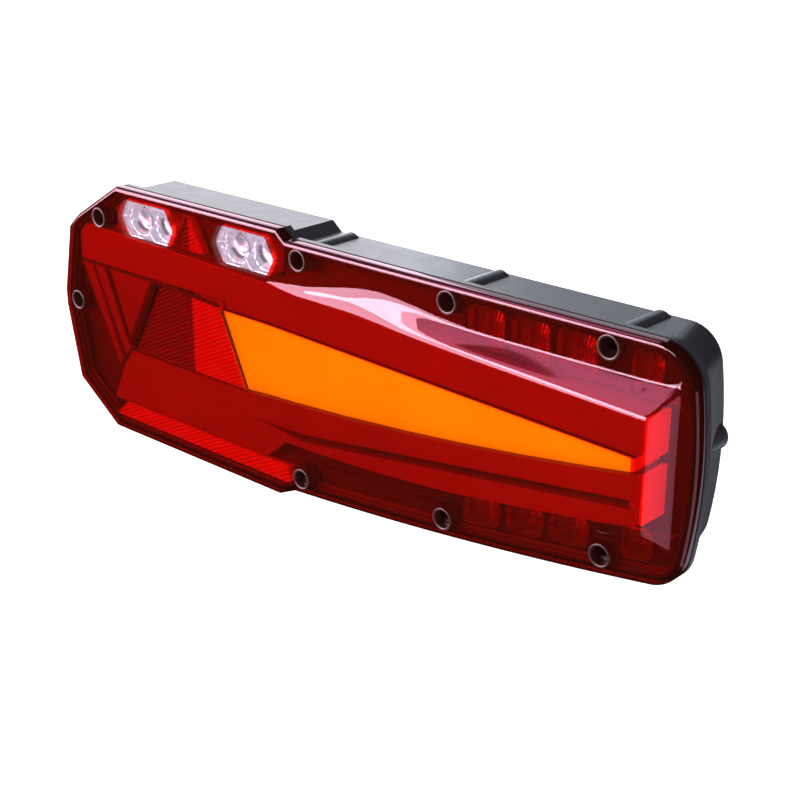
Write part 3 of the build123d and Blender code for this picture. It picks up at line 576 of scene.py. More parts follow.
def lens_material(colours):
    """Three-colour moulding: red all over, amber and clear where the zone marks say, dark at the rim."""
    n = Nodes("lens_three_colour")
    amber, clear = (n.range(n.marked(zone), -0.15, 0.15) for zone in ("amber_zone", "clear_zone"))
    through = n.mix(amber, tuple(colours.red), tuple(colours.amber))
    through = n.mix(clear, through, (0.97, 0.96, 0.99))
    through = n.mix(n.range(n.marked("rim_zone"), 0.0, 1.6, 0.0, 0.95), through, (0.10, 0.002, 0.004))
    body = n.mix(amber, (0.5, 0.09, 0.05), (0.9, 0.4, 0.02))
    body = n.mix(clear, body, (0.8, 0.8, 0.85))
    flow = n.bump(n.noise(9.0, 1.0), 0.012, 0.002)
    see = n.add("ShaderNodeBsdfTransparent", {"Color": through})
    solid = n.add("ShaderNodeBsdfDiffuse", {"Color": body})
    mixed = n.add("ShaderNodeMixShader", {0: 0.03, 1: see.outputs[0], 2: solid.outputs[0]})
    gloss = n.add("ShaderNodeBsdfGlossy", {"Color": (1.0, 0.7, 0.8), "Roughness": 0.04, "Normal": flow})
    # only the side towards the air reflects
    back = n.add("ShaderNodeNewGeometry").outputs["Backfacing"]
    share = n.add("ShaderNodeFresnel", {"IOR": 1.49, "Normal": flow}).outputs[0]
    share = n.math("MULTIPLY", share, n.math("SUBTRACT", 1.0, back))
    return n.finish(n.add("ShaderNodeMixShader", {0: share, 1: mixed.outputs[0], 2: gloss.outputs[0]}))


# ---------------------------------------------------------------- lens
WINDOWS = [np.array(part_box(f"reversing_window_{side}")) / MM for side in ("left", "right")]
WINDOW_NOSE, AMBER_BOW, AMBER_RIM = 5.7, 3.9, 1.2
AMBER = np.array([
    (left + 149.0, bottom + 50.5), (left + 132.0, top - 51.0), (right - 21.5, top - 51.0),
    (right - 21.5, bottom + 83.0),
])
WELLS = np.array([
    (left + 36.5, top - 19.5), (left + 12.0, bottom + 69.0), (left + 190.0, section_top - 8.0),
    (right - 129.0, section_top - 8.0), (right - 44.0, section_top - 8.0), (left + 189.0, bottom + 13.5),
    (right - 130.0, bottom + 22.5), (right - 43.0, bottom + 34.5),
])
SIDE_STEPS, END_STEPS = 20001, 8001


def amber_outline():
    """Corners of the indicator wedge, its lower edge bowed."""
    share = np.linspace(0, 1, 14)[1:-1, None]
    bow = AMBER[3] * (1 - share) + AMBER[0] * share - np.array([0, 1]) * AMBER_BOW * 4 * share * (1 - share)
    # the upper edge covers the lit rim of the diffuser under it
    return np.vstack([AMBER + [[0, 0], [0, AMBER_RIM], [0, AMBER_RIM], [0, 0]], bow])


def window_outline(box):
    """Corners of a six-sided reversing window from its box."""
    (low_x, _, low_z), (high_x, _, high_z) = box
    middle = (low_z + high_z) / 2
    return [
        (low_x, middle), (low_x + WINDOW_NOSE, high_z), (high_x - WINDOW_NOSE, high_z),
        (high_x, middle), (high_x - WINDOW_NOSE, low_z), (low_x + WINDOW_NOSE, low_z),
    ]


def even_places(start, end, count, inset):
    """Places on the outline from start to end: every corner arc at five points, the rest evenly."""
    special = [start, end]
    for step in range(int(np.floor(start)), int(np.ceil(end))):
        if step % 2 == 0:
            special += [p for p in np.linspace(step, step + 1, 5) if start < p < end]
    special = np.unique(np.round(special, 6))
    dense = np.linspace(start, end, 6000)
    lengths = np.r_[0, np.cumsum(np.hypot(*np.diff(outline(inset, dense), axis=0).T))]
    # fill the gaps between the special places in proportion to their length
    marks = np.interp(special, dense, lengths)
    needed = count + 1 - len(special)
    shares = np.diff(marks) / np.diff(marks).sum() * needed
    fill = np.floor(shares).astype(int)
    fill[np.argsort(fill - shares)[: needed - fill.sum()]] += 1
    places = []
    for low, high, extra in zip(marks[:-1], marks[1:], fill):
        places += list(np.linspace(low, high, extra + 2)[:-1])
    return np.interp(np.r_[places, marks[-1]], lengths, dense)


def side_places(span, axis, keys, counts, inset, steps):
    """Places along one side of the outline: a set count from each key coordinate to the next."""
    dense = np.linspace(*span, steps)
    run = outline(inset, dense)[:, axis]
    way = 1 if run[-1] > run[0] else -1
    marks = [span[0], *np.interp(way * np.array(keys), way * run, dense), span[1]]
    places = [span[0]]
    for start, end, count in zip(marks[:-1], marks[1:], counts):
        places += list(even_places(start, end, count, inset)[1:])
    return places


class LAMP_OT_lens(bpy.types.Operator):
    """Lens: one moulding with a rounded rim and a raised wedge, in red, amber and clear plastic"""

    bl_idname = "lamp.lens"
    bl_label = "Lens"

    def execute(self, context):
        shape = context.scene.lamp_shape
        rim, ease = shape.rim_radius / MM, shape.crease / MM
        inner = rim + 0.5
        plan, loop = self.plan(inner)
        inside = xhz(plan[..., 0], lens_height(plan[..., 0], plan[..., 1], ease), plan[..., 1])
        # rim: a quarter round and the skirt, carried round the outline
        front = lens_height(*outline(rim, loop).T, ease)
        turns = np.linspace(0, pi / 2, 8)
        rings = [outline_ring(inner, lens_height(*outline(inner, loop).T, ease), loop)]
        rings += [outline_ring(rim * (1 - sin(turn)), front - rim * (1 - cos(turn)), loop) for turn in turns]
        for up, inset in ((0.6, 0.0), (0.2, 0.12), (0.0, 0.45)):
            rings.append(outline_ring(inset, skirt_back + up, loop))
        vertices = np.vstack([inside.reshape(-1, 3), *rings])
        inner_faces = looking_front(inside, grid_faces(*plan.shape[:2]))
        ring_faces = grid_faces(len(rings), len(loop), inside.size // 3, wrap=True)
        faces = np.vstack([inner_faces, looking_front(vertices, ring_faces, len(loop))])
        lens_material(context.scene.lamp_colours)
        piece = new_piece(
            "lens_moulding", (vertices, faces), "lens_three_colour",
            ("lens", "indicator_window", "reversing_window_left", "reversing_window_right"), merging=False,
        )
        merge(piece, 0.02, outward=False)
        self.zones(piece)
        wall = piece.modifiers.new("wall", "SOLIDIFY")
        wall.thickness, wall.offset = shape.wall, -1.0
        # the screw wells' mouths are cut out of the finished wall
        mouth = turned_ring([(0.001, 36.0), (5.3, 36.0), (5.3, 46.0), (0.001, 46.0)], WELLS, 40)
        cutter = new_piece("well_mouths", mouth, "lens_three_colour")
        cut = piece.modifiers.new("mouths", "BOOLEAN")
        cut.object, cut.operation, cut.solver = cutter, "DIFFERENCE", "EXACT"
        context.view_layer.update()
        holed = bpy.data.meshes.new_from_object(piece.evaluated_get(context.evaluated_depsgraph_get()))
        holed.name = "lens_moulding"
        piece.modifiers.clear()
        piece.data = holed
        holed.set_sharp_from_angle(angle=radians(55))
        bpy.data.objects.remove(cutter)
        return {"FINISHED"}

    @staticmethod
    def plan(inner):
        """Flat places of the inner grid, whose rows and columns follow the wedge's edges, and the places
        of its border on the outline."""
        counts, row_counts = [78, 52, 56, 10, 12], [12, 14, 30, 12, 12]
        key_x, near_end_x = [WEDGE_LEFT, BEND_X, 180.0, WEDGE_RIGHT], 187.0
        right_z = [section_top - 10.0, section_top - 15.0, bottom + 50.0, bottom + 45.0]
        left_z = [bottom + 32.0, bottom + 36.0, top - 36.0, top - 32.0]
        loops = [
            side_places((0.5, 10.5), 0, [*key_x[:3], near_end_x], counts, inner, SIDE_STEPS),
            side_places((10.5, 12.5), 1, right_z, row_counts, inner, END_STEPS),
            side_places((12.5, 20.5), 0, [near_end_x, *key_x[2::-1]], counts[::-1], inner, SIDE_STEPS),
            side_places((20.5, 26.5), 1, left_z, row_counts[::-1], inner, END_STEPS),
        ]
        upper, end, low, start = (outline(inner, places) for places in loops)
        low, start = low[::-1], start[::-1]
        columns, rows = sum(counts) + 1, sum(row_counts) + 1
        split, row = np.cumsum([0, *row_counts]), np.arange(rows)

        def column_at(x):
            """Places down one column: even between the wedge's edges."""
            lines = (upper_foot, crest_line, low_crest_line, low_foot)
            foot, crest, low_crest, lower = (float(line(x)) for line in lines)
            levels = [
                (section_top if x > left + 182.0 else top) - inner, max(foot, crest + 3.0), crest, low_crest,
                min(lower, low_crest - 3.0), float(np.interp(x, *low.T)),
            ]
            return np.stack([np.full(rows, x), np.interp(row, split, levels)], -1)

        at_foot = np.interp(row, split, [
            section_top - inner - 1.0, section_top - 9.5, upper_foot(WEDGE_FOOT), LOW_FOOT_Z, bottom + 43.0,
            bottom + 34.5 + inner,
        ])
        near_end = np.stack([np.minimum(WEDGE_FOOT, end[:, 0] - 1.0), at_foot], -1)
        key_places = np.array([start, *[column_at(x) for x in key_x], near_end, end])
        key_columns = np.cumsum([0, *counts[:4], counts[4] // 2, counts[4] // 2])
        plan = np.empty((rows, columns, 2))
        for axis in (0, 1):
            for r in range(rows):
                plan[r, :, axis] = np.interp(np.arange(columns), key_columns, key_places[:, r, axis])
        fade_top = np.clip(1 - row / split[1], 0, 1)[:, None, None]
        fade_low = np.clip((row - split[4]) / (split[5] - split[4]), 0, 1)[:, None, None]
        plan += fade_top * (upper - plan[0])[None] + fade_low * (low - plan[-1])[None]
        plan[:, 0], plan[:, -1] = start, end
        return plan, np.concatenate([places[:-1] for places in loops])

    @staticmethod
    def zones(piece):
        """Marks where the lens is amber, clear and dark at its rim, as distances from the zones' edges."""
        places = np.empty(len(piece.data.vertices) * 3)
        piece.data.vertices.foreach_get("co", places)
        x, y, z = places.reshape(-1, 3).T / MM
        on_front = -y > lens_face - 3.0
        clear = np.maximum(*[polygon_distance(x, z, window_outline(box)) for box in WINDOWS])
        mark(piece, "amber_zone", np.where(on_front, polygon_distance(x, z, amber_outline()), -9.0))
        mark(piece, "clear_zone", np.where(on_front, clear, -9.0))
        mark(piece, "rim_zone", np.where(on_front, 3.2 - outline_distance(x, z), 3.0))


# ---------------------------------------------------------------- screw wells and edge frame
class LAMP_OT_wells(bpy.types.Operator):
    """Screw wells of the lens: a lipped mouth, a tapering bore and a floor round each screw"""

    bl_idname = "lamp.wells"
    bl_label = "Screw wells"

    def execute(self, context):
        face = lens_face
        profile = [
            (5.6, face + 0.02), (5.35, face + 0.22), (4.75, face + 0.24), (4.35, face), (4.15, face - 0.8),
            (4.0, 31.2), (2.3, 31.0), (2.2, 28.1), (4.9, 28.0), (5.1, 28.4), (5.25, face - 2.2),
            (5.6, face - 2.1),
        ]
        # the wells are painted nearly black: painted shade in the deep bores
        new_piece("screw_wells", turned_ring(profile, WELLS, 40), "well_painted_shade", sharp=40)
        return {"FINISHED"}


class LAMP_OT_edge_frame(bpy.types.Operator):
    """Dark frame inside the rim of the lens: a stepped section carried round the inset outline"""

    bl_idname = "lamp.edge_frame"
    bl_label = "Edge frame"

    def execute(self, context):
        places = np.linspace(0, ROUND_TRIP, ROUND_TRIP * 14, endpoint=False)
        profile = [
            (2.75, 35.6), (2.75, 38.2), (2.95, 38.6), (4.6, 38.6), (4.9, 38.3), (5.1, 36.9), (6.4, 36.7),
            (6.7, 36.4), (6.9, 34.4), (6.2, 34.2), (3.4, 34.4), (2.75, 35.6),
        ]
        rings = np.array([outline_ring(inset, height, places) for inset, height in profile])
        grid = join_grids((rings, grid_faces(len(rings), len(places), wrap=True)))
        new_piece("edge_frame", grid, "dark_frame_and_gap_shade", sharp=35)
        return {"FINISHED"}


# ---------------------------------------------------------------- reflectors
BOWL_RADIUS, BOWL_STEP, BOWL_DEPTH, BOWL_FACE = 11.6, 10.6, 9.5, 38.8
PUCK_RADIUS = 4.9


def bell(value, width):
    """Bell curve of a value round nought."""
    return np.exp(-((value / width) ** 2))


class LAMP_OT_bowls(bpy.types.Operator):
    """Reversing reflectors: two faceted bowls that meet behind each clear window, with their light pucks"""

    bl_idname = "lamp.bowls"
    bl_label = "Reversing bowls"

    def execute(self, context):
        for side, (low, high) in zip(("left", "right"), WINDOWS):
            middle, half = (low + high) / 2, (high - low) / 2 - 0.35
            share, level = np.meshgrid(np.linspace(-1, 1, 231), np.linspace(-1, 1, 111))
            x = share * (half[0] - WINDOW_NOSE * np.abs(level) ** 1.3)
            z = level * half[2]
            depth, shade = self.bowls(x, z)
            # painted shade: a dark slot down the middle between the two bowls and dark bands along the border
            for mask in (0.6 * bell(x, 0.5) * (z > -2.0), 0.5 * np.clip(1 - (1 - np.abs(level)) / 0.06, 0, 1),
                         0.5 * np.clip(1 - (1 - np.abs(share)) / 0.04, 0, 1)):
                shade = np.maximum(shade, mask)
            depth *= np.clip(np.minimum(1 - np.abs(share), 1 - np.abs(level)) / 0.05, 0, 1) ** 0.6
            # the wall goes down from the border so that the bowls read as one solid moulding
            sheet = xhz(x + middle[0], BOWL_FACE - depth, z + middle[2])
            grid = walled(sheet, lambda edge: (BOWL_FACE, BOWL_FACE - 0.4, 20.0))
            new_piece(
                f"reversing_bowls_{side}", grid, "reversing_chrome",
                (f"reversing_reflector_{side}",), sharp=50, marks=[("shade", shade)],
            )
        return {"FINISHED"}

    @staticmethod
    def bowls(x, z):
        """Depth and painted shade of the two bowls: a deep round bowl with fine facets, a domed puck on its
        floor and two rings round it; painted dark arcs stand over the rings, and the puck and the lines
        between the facets are painted darker."""
        depth, shade = np.zeros_like(x), np.zeros_like(x)
        for turn in (-1, 1):
            radius, angle = np.hypot(x - turn * BOWL_STEP, z), np.arctan2(z, x - turn * BOWL_STEP)
            rest = np.clip(1 - (radius / BOWL_RADIUS) ** 2, 0, 1)
            within = rest > 0
            facets = 0.45 * np.abs(np.sin(angle * 9)) * np.clip(radius / BOWL_RADIUS, 0, 1) * within
            puck = np.clip((PUCK_RADIUS - radius) / 0.5, 0, 1) * 2.6
            dome = np.sqrt(np.clip(1 - (radius / PUCK_RADIUS) ** 2, 0, 1)) * 1.2
            rings = 0.7 * bell(radius - 6.6, 0.35) - 0.5 * bell(radius - 9.2, 0.3)
            bowl = BOWL_DEPTH * rest**0.8 - facets * np.minimum(rest * 4, 1) - puck - dome
            depth = np.maximum(depth, bowl + rings * within)
            sector = np.clip(np.sin(angle * 2 + turn * 0.7) * 2.2, 0, 1)
            # painted shade: dark arcs on one side of each bowl, a dark ring, a darker puck and dark lines
            # between the facets, on each bowl's outer half
            for arc in (
                0.9 * bell(radius - 7.2, 0.75) * sector, 0.6 * bell(radius - 5.2, 0.4), 0.5 * (radius < 4.8),
                0.35 * np.clip(np.sin(angle * 9) ** 2 - 0.7, 0, 1) * (radius > 4.6),
            ):
                shade = np.maximum(shade, arc * within * (turn * x > 0))
        return depth, shade


STOP_CUPS = [(right - 110.5, 22.0), (right - 86.5, 22.0), (right - 62.5, 22.0), (right - 28.0, 16.0)]
FLUTE, CUP_DEPTH, CUP_FACE, CUP_RIM_SHADE = 2.4, 12.0, 37.9, 0.93


def stop_line(x):
    """Middle height of the stop row."""
    return np.full_like(x, section_top - 16.0)


def fog_line(x):
    """Middle height of the fog row: it climbs a little more steeply than the lamp's lower edge."""
    first, start = STOP_CUPS[0][0], left + 183.0
    slope = (bottom + 31.5 - section_bottom) / (right - 6.0 - start)
    return section_bottom + slope * (first - start) + 12.5 + (slope + 0.026) * (x - first)


class LAMP_OT_cups(bpy.types.Operator):
    """Stop and fog reflectors: a row of rounded cups with upright flutes on their floors"""

    bl_idname = "lamp.cups"
    bl_label = "Fluted cups"

    def execute(self, context):
        for node, high, line in (("stop_reflector", 18.5, stop_line), ("fog_reflector", 13.0, fog_line)):
            low, up = (np.array(corner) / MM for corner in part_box(node))
            x, level = np.meshgrid(np.linspace(low[0] + 0.3, up[0] - 1.2, 620), np.linspace(-1, 1, 61))
            z = line(x) + level * (high / 2 + 0.4)
            depth, shade = np.zeros_like(x), np.full_like(x, CUP_RIM_SHADE)
            for centre, wide in STOP_CUPS:
                away = ((np.abs(x - centre) / (wide / 2)) ** 5 + np.abs(level) ** 5) ** 0.2
                floor = np.clip((1.0 - away) / 0.3, 0, 1)
                floor = floor * floor * (3 - 2 * floor)
                flutes = 0.8 * np.abs(np.sin(pi * (x - centre) / FLUTE)) * floor
                lamp_bump = 2.2 * np.exp(-((x - centre) ** 2 + (level * high / 2) ** 2) / 9.0)
                depth = np.maximum(depth, CUP_DEPTH * floor - flutes - lamp_bump)
                # painted shade: dark lines between the flutes and darker cup walls; the flat border keeps the
                # rim shade
                ribs = 0.12 + 0.6 * bell((x - centre) / FLUTE % 1, 0.22)
                walls = 0.55 * np.clip(1 - np.abs(floor - 0.5) * 2, 0, 1)
                fill = np.clip((floor - 0.04) / 0.1, 0, 1)
                shade = np.minimum(shade, CUP_RIM_SHADE * (1 - fill) + np.maximum(ribs, walls) * fill)
            points, quads = walled(xhz(x, CUP_FACE - depth, z), lambda edge: (edge, edge - 16.0))
            # what would cross a screw well or the lamp's wall is left out
            flat = points[quads].mean(1)[:, ::2]
            clear = np.min([np.hypot(*(flat - well).T) for well in WELLS], 0) > 5.9
            clear &= outline_distance(*flat.T, 6.5) > 0
            new_piece(
                node.replace("reflector", "cups"), (points, quads[clear]), "cup_chrome",
                (node,), sharp=60, marks=[("shade", shade, 0.9)],
            )
        return {"FINISHED"}


# ---------------------------------------------------------------- reflex prisms
PRISM_STEP, PRISM_RISE, PRISM_FACE, PRISM_FOOT = 2.1, 0.9, 38.9, 34.2


def prism(x, z, dim):
    """Height share of the prisms: the lesser of two crossed saw waves, one of them flattened on the dim
    half so that slanting rows remain."""
    first = 2 * np.abs(((x * 0.42 - z * 0.91) / PRISM_STEP) % 1 - 0.5)
    second = 2 * np.abs(((x * 0.87 + z * 0.5) / PRISM_STEP) % 1 - 0.5)
    return np.minimum(first, np.where(dim, 0.45 + 0.55 * second, second))


class LAMP_OT_prisms(bpy.types.Operator):
    """Reflex triangle: three blocks whose fronts are small prisms in slanting rows"""

    bl_idname = "lamp.prisms"
    bl_label = "Reflex prisms"

    def execute(self, context):
        middle, peak = left + 107.0, top - 5.0
        amber_edge = line_through(*((z, x - 1.2) for x, z in AMBER[1::-1]))
        for node, columns, rows in (
            ("reflex_centre", 240, 170), ("reflex_tip", 90, 76), ("reflex_base", 420, 40),
        ):
            low, high = (np.array(corner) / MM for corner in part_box(node))
            share, z = np.meshgrid(np.linspace(0, 1, columns), np.linspace(low[2] + 0.2, high[2] - 0.2, rows))
            base = node == "reflex_base"
            if base:
                begin = low[0] + 0.3 + (z - low[2]) * 1.2
                finish = high[0] - 0.3 - (z - low[2]) * 0.3
            else:
                reach = (peak - z) / sqrt(3)
                begin, finish = middle - reach + 0.4, middle + reach
                if node == "reflex_centre":
                    finish = np.minimum(finish, amber_edge(z))
                finish = finish - 0.4
            x = begin + share * (finish - begin)
            rise = prism(x, z, (x < middle) & (not base))
            edge = np.minimum(
                np.minimum(share, 1 - share) * (finish - begin), np.minimum(z - low[2], high[2] - z),
            )
            height = PRISM_FACE - PRISM_RISE * (1 - rise) * np.clip(edge / 0.6, 0, 1)
            new_piece(
                node.replace("reflex", "prisms"), walled(xhz(x, height, z), lambda edge: (edge, PRISM_FOOT)),
                "reflex_prism_red", (node,), sharp=12, marks=[("prism_rise", rise)],
            )
        return {"FINISHED"}


# ---------------------------------------------------------------- ribs, studs and fittings
WALL_RIBS = [
    (left + 190.0, section_top - 3.5, 1), (right - 129.0, section_top - 3.5, 1),
    (right - 44.0, section_top - 3.5, 1), (left + 189.0, section_bottom + 4.2, -1),
    (right - 130.0, bottom + 18.4, -1), (right - 43.0, bottom + 30.4, -1),
]
BACK_RIM = [(13.0, 2.6), (13.4, 0.9), (13.8, 0.7), (15.0, 0.7), (15.4, 0.9), (15.8, 2.6), (13.0, 2.6)]
BACK_BARS = [
    (-160.0, -34.0, 48.0), (-122.0, -54.0, 56.0), (-30.0, -50.0, 51.0), (34.0, -46.0, 50.0),
    (118.0, -33.0, 50.0), (160.0, -27.0, 48.0),
]
BACK_FACE = 2.6
RIB_HALF, RIB_RISE, RIB_MIDDLE, RIB_REACH = 4.2, 2.4, 18.0, 13.4
STUD_X, STUD_RADIUS, STUD_REACH, THREAD_PITCH = 76.0, 4.0, 29.2, 1.25


def wall_rib(x, wall_z, turn):
    """Half-round rib standing 2.4 mm off a wall: a flattened half circle carried along the height,
    drawn in to nothing at both ends by a steep power curve."""
    angle, along = np.meshgrid(np.linspace(-0.35, pi + 0.35, 17), np.linspace(-1, 1, 33))
    size = (1 - np.abs(along) ** 8) ** 0.5 + 0.001
    points = xhz(
        x + RIB_HALF * np.cos(angle) * size, RIB_MIDDLE + RIB_REACH * along,
        wall_z + turn * (RIB_RISE * np.sin(angle) * size - 0.3),
    )
    return points, grid_faces(*angle.shape)


def back_bar(x, low, high):
    """Upright rib on the back: a rounded trapezoid section carried from low to high."""
    across, height = np.array([
        (-1.5, 2.6), (-1.1, 0.95), (-0.7, 0.7), (0.7, 0.7), (1.1, 0.95), (1.5, 2.6), (-1.5, 2.6),
    ]).T
    along = np.array([low - 0.5, low, high, high + 0.5])[:, None]
    shrink = np.array([0.02, 1.0, 1.0, 0.02])[:, None]
    points = xhz(x + across * shrink, BACK_FACE + (height - BACK_FACE) * shrink, along)
    return points, grid_faces(len(along), len(across))


def stud():
    """Stud: a smooth neck, then a thread whose radius follows a blunt saw wave along a helix."""
    circle = np.linspace(0, 2 * pi, 33)[:-1]
    turn, along = np.meshgrid(circle, np.linspace(0, -STUD_REACH, 203))
    wave = 2 * np.abs(((along + turn / (2 * pi) * THREAD_PITCH) / THREAD_PITCH) % 1 - 0.5)
    radius = STUD_RADIUS - 0.62 * np.clip(wave * 1.3 - 0.15, 0, 1)
    radius = np.minimum(radius, 3.2 + 0.9 * np.clip(along + STUD_REACH, 0, 1))
    radius = np.minimum(radius, 3.6 + 0.5 * np.clip(-along, 0, 1))
    thread = xhz(radius * np.cos(turn), along, radius * np.sin(turn))

    def ring(radius, height):
        return xhz(radius * np.cos(circle), height, radius * np.sin(circle))

    neck = [ring(0.01, 4.4), ring(4.8, 4.4), ring(4.8, 0.3), ring(4.55, 0.0)]
    return np.array([*neck, *thread, ring(2.6, -29.75), ring(0.01, -29.95)])


class LAMP_OT_housing(bpy.types.Operator):
    """Ribs on the housing's walls and back, threaded studs, rubber pads, cable socket and vent cap"""

    bl_idname = "lamp.housing"
    bl_label = "Housing"

    def execute(self, context):
        ribs = join_grids(*[wall_rib(*rib) for rib in WALL_RIBS])
        new_piece("wall_ribs", ribs, "housing_moulding", sharp=50)
        places = np.linspace(0, ROUND_TRIP, ROUND_TRIP * 10, endpoint=False)
        rings = np.array([outline_ring(inset, height, places) for inset, height in BACK_RIM])
        # the rim leans in towards the right end, as the housing does
        rings[..., 0] -= np.clip(rings[..., 0] / (right - 14.0), 0, 1) * 9.0
        rim = (rings, grid_faces(len(rings), len(places), wrap=True))
        back = join_grids(rim, *[back_bar(*bar) for bar in BACK_BARS])
        new_piece("back_ribs", back, "housing_moulding", sharp=35)
        body = stud()
        faces = grid_faces(len(body), body.shape[1], wrap=True)
        both = join_grids(*[(body + [x, 0, 0], faces) for x in (-STUD_X, STUD_X)])
        new_piece("threaded_studs", both, "zinc_plate", ("mounting_studs",), sharp=40)
        rounded_copy("rubber_pads", "mounting_pads", "seal_rubber", 0.5)
        rounded_copy("cable_socket", "connector_socket", "black_moulding", 0.4)
        rounded_copy("vent_cap", "breather_vent", "black_moulding", 0.35)
        return {"FINISHED"}


# ---------------------------------------------------------------- painted gap shade and light plates
# runs of dark ridges: painted shade in the gaps between the light plates
GAP_SHADE_RUNS = [
    ((-190.5, 22.7), (-129.0, 22.7), 2.2), ((-129.0, 22.7), (-77.5, 20.6), 2.6),
    ((-191.5, 22.0), (-164.2, -32.0), 1.6), ((-181.3, 22.0), (-157.3, -28.5), 2.3),
    ((-170.6, 22.0), (-154.2, -16.0), 2.3), ((-130.6, 22.0), (-153.0, -17.5), 3.6),
    ((-75.8, 18.5), (-57.5, -20.0), 1.3), ((-74.0, 19.7), (184.4, 19.7), 1.5),
]
PLATES = [
    ("upper_plate", "upper_light_guide", "red_light_plate"),
    ("lower_plate", "lower_light_guide", "red_light_plate"),
    ("arrow_plate", "arrow_light_guide", "red_light_bar"),
    ("outer_bar", "slanted_bar_outer", "red_light_bar"),
    ("inner_bar", "slanted_bar_inner", "red_light_bar"),
    ("upper_end_strip", "end_light_guide_upper", "red_end_strip"),
    ("lower_end_strip", "end_light_guide_lower", "red_end_strip"),
    ("amber_plate", "indicator_diffuser", "amber_diffuser"),
]
PLATE_ROUND = 0.35


def ridge(start, end, width):
    """Trapezoid section (width wide at its foot) that follows the lens's inside from start to end and
    is closed at both."""
    start, end = np.array(start), np.array(end)
    along = (end - start) / hypot(*(end - start))
    half, foot, crest = width / 2, -3.3, -2.8
    across, height = np.array([
        (-half, foot), (-half * 0.8, crest), (half * 0.8, crest), (half, foot), (-half, foot),
    ]).T
    reach = np.r_[0.0, np.linspace(0.001, 0.999, 28), 1.0][:, None]
    size = np.r_[0.02, np.ones(28), 0.02][:, None]
    way = end - start
    x = start[0] + reach * way[0] - along[1] * across * size
    z = start[1] + reach * way[1] + along[0] * across * size
    return xhz(x, lens_height(x, z, 0.05) + height, z), grid_faces(*x.shape)


class LAMP_OT_gap_shade(bpy.types.Operator):
    """Painted shade between the light plates: dark low ridges with slanted flanks along straight runs, where
    the gaps between the plates lie.
    """

    bl_idname = "lamp.partitions"
    bl_label = "Gap shade"

    def execute(self, context):
        grid = join_grids(*[ridge(*run) for run in GAP_SHADE_RUNS])
        new_piece("plate_gap_shade", grid, "dark_frame_and_gap_shade", sharp=20)
        return {"FINISHED"}


class LAMP_OT_plates(bpy.types.Operator):
    """Light plates, bars, end strips and the indicator diffuser with eased edges"""

    bl_idname = "lamp.plates"
    bl_label = "Light plates"

    def execute(self, context):
        for name, node, material in PLATES:
            rounded_copy(name, node, material, PLATE_ROUND)
        return {"FINISHED"}


# ---------------------------------------------------------------- finishes of the CAD pieces
def paint(material, *names):
    """Puts a material on CAD nodes."""
    for name in names:
        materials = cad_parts[name].data.materials
        materials.clear()
        materials.append(material)


class LAMP_OT_finishes(bpy.types.Operator):
    """Finishes, and which of them the pieces that keep their CAD shape take"""

    bl_idname = "lamp.finishes"
    bl_label = "Finishes"

    def execute(self, context):
        colours = context.scene.lamp_colours
        plate = tuple(colours.plate)
        paint(moulded_plastic("housing_moulding", tuple(colours.housing), 0.34, 0.12, 0.05), "housing")
        paint(carrier_material(), "carrier_panel")
        reflex_material()
        # the last number of each is a painted glow: the plates, bars, end strips and diffuser are lit by
        # themselves
        for name, colour, glow in (
            ("red_light_plate", plate, 0.04), ("red_light_bar", times(plate, 0.8), 0.03),
            ("red_end_strip", (0.9, 0.02, 0.05), 0.6), ("amber_diffuser", (1.0, 0.5, 0.006), 0.2),
        ):
            satin_light(name, colour, glow)
        # the last number is a painted glow on the reflectors
        satin_metal("reversing_chrome", (0.9, 0.89, 0.98), 0.13)
        satin_metal("cup_chrome", (0.6, 0.3, 0.25), 0.03)
        for name, colour, roughness, grain, nodes in (
            # painted shade: the screw wells are painted nearly black
            ("well_painted_shade", (0.035, 0.002, 0.002), 0.45, 0.05, []),
            # dark frame inside the rim, and the dark ridges of painted shade between the plates
            ("dark_frame_and_gap_shade", (0.035, 0.004, 0.005), 0.45, 0.2, []),
            ("board_laminate", (0.02, 0.12, 0.05), 0.35, 0.25, ["left_circuit_board", "main_circuit_board"]),
            ("black_moulding", (0.015, 0.015, 0.017), 0.4, 0.25, ["connector_ring_nut", "driver_chips"]),
            ("seal_rubber", (0.012, 0.012, 0.012), 0.7, 0.4,
             ["lens_gasket", "screw_seals", "connector_seal"]),
            ("ribbon_insulation", (0.4, 0.4, 0.42), 0.5, 0.25, ["board_link_cable"]),
            ("led_package", (0.85, 0.8, 0.5), 0.3, 0.25,
             ["tail_leds", "indicator_leds", "stop_leds", "fog_leds", "reversing_leds"]),
        ):
            paint(moulded_plastic(name, colour, roughness, grain), *nodes)
        for name, colour, roughness, nodes in (
            ("zinc_plate", (0.62, 0.61, 0.58), 0.28, ["lens_screws", "board_screws"]),
            ("contact_brass", (0.8, 0.6, 0.28), 0.2, ["connector_pins"]),
            ("capacitor_can", (0.75, 0.75, 0.77), 0.25, ["capacitors"]),
        ):
            paint(metal(name, colour, roughness), *nodes)
        return {"FINISHED"}


# ---------------------------------------------------------------- stage
CAMERA_PLACE = np.array([0.47908, -0.51078, 0.25865])
CAMERA_AZIMUTH, CAMERA_ELEVATION = 42.4687, 21.8014
FLOOR_HALF, FLOOR_Z = 9.0, -0.13


def unit(vector):
    """The vector at length one."""
    return np.array(vector, float) / np.linalg.norm(vector)


def area_lamp(name, place, turn, size, power, colour):
    """Rectangular lamp."""
    data = bpy.data.lights.new(name, "AREA")
    data.shape, data.size, data.size_y = "RECTANGLE", *size
    data.energy, data.color = power, colour
    lamp = bpy.data.objects.new(name, data)
    lamp.location, lamp.rotation_euler = place, turn
    bpy.context.scene.collection.objects.link(lamp)
    return lamp


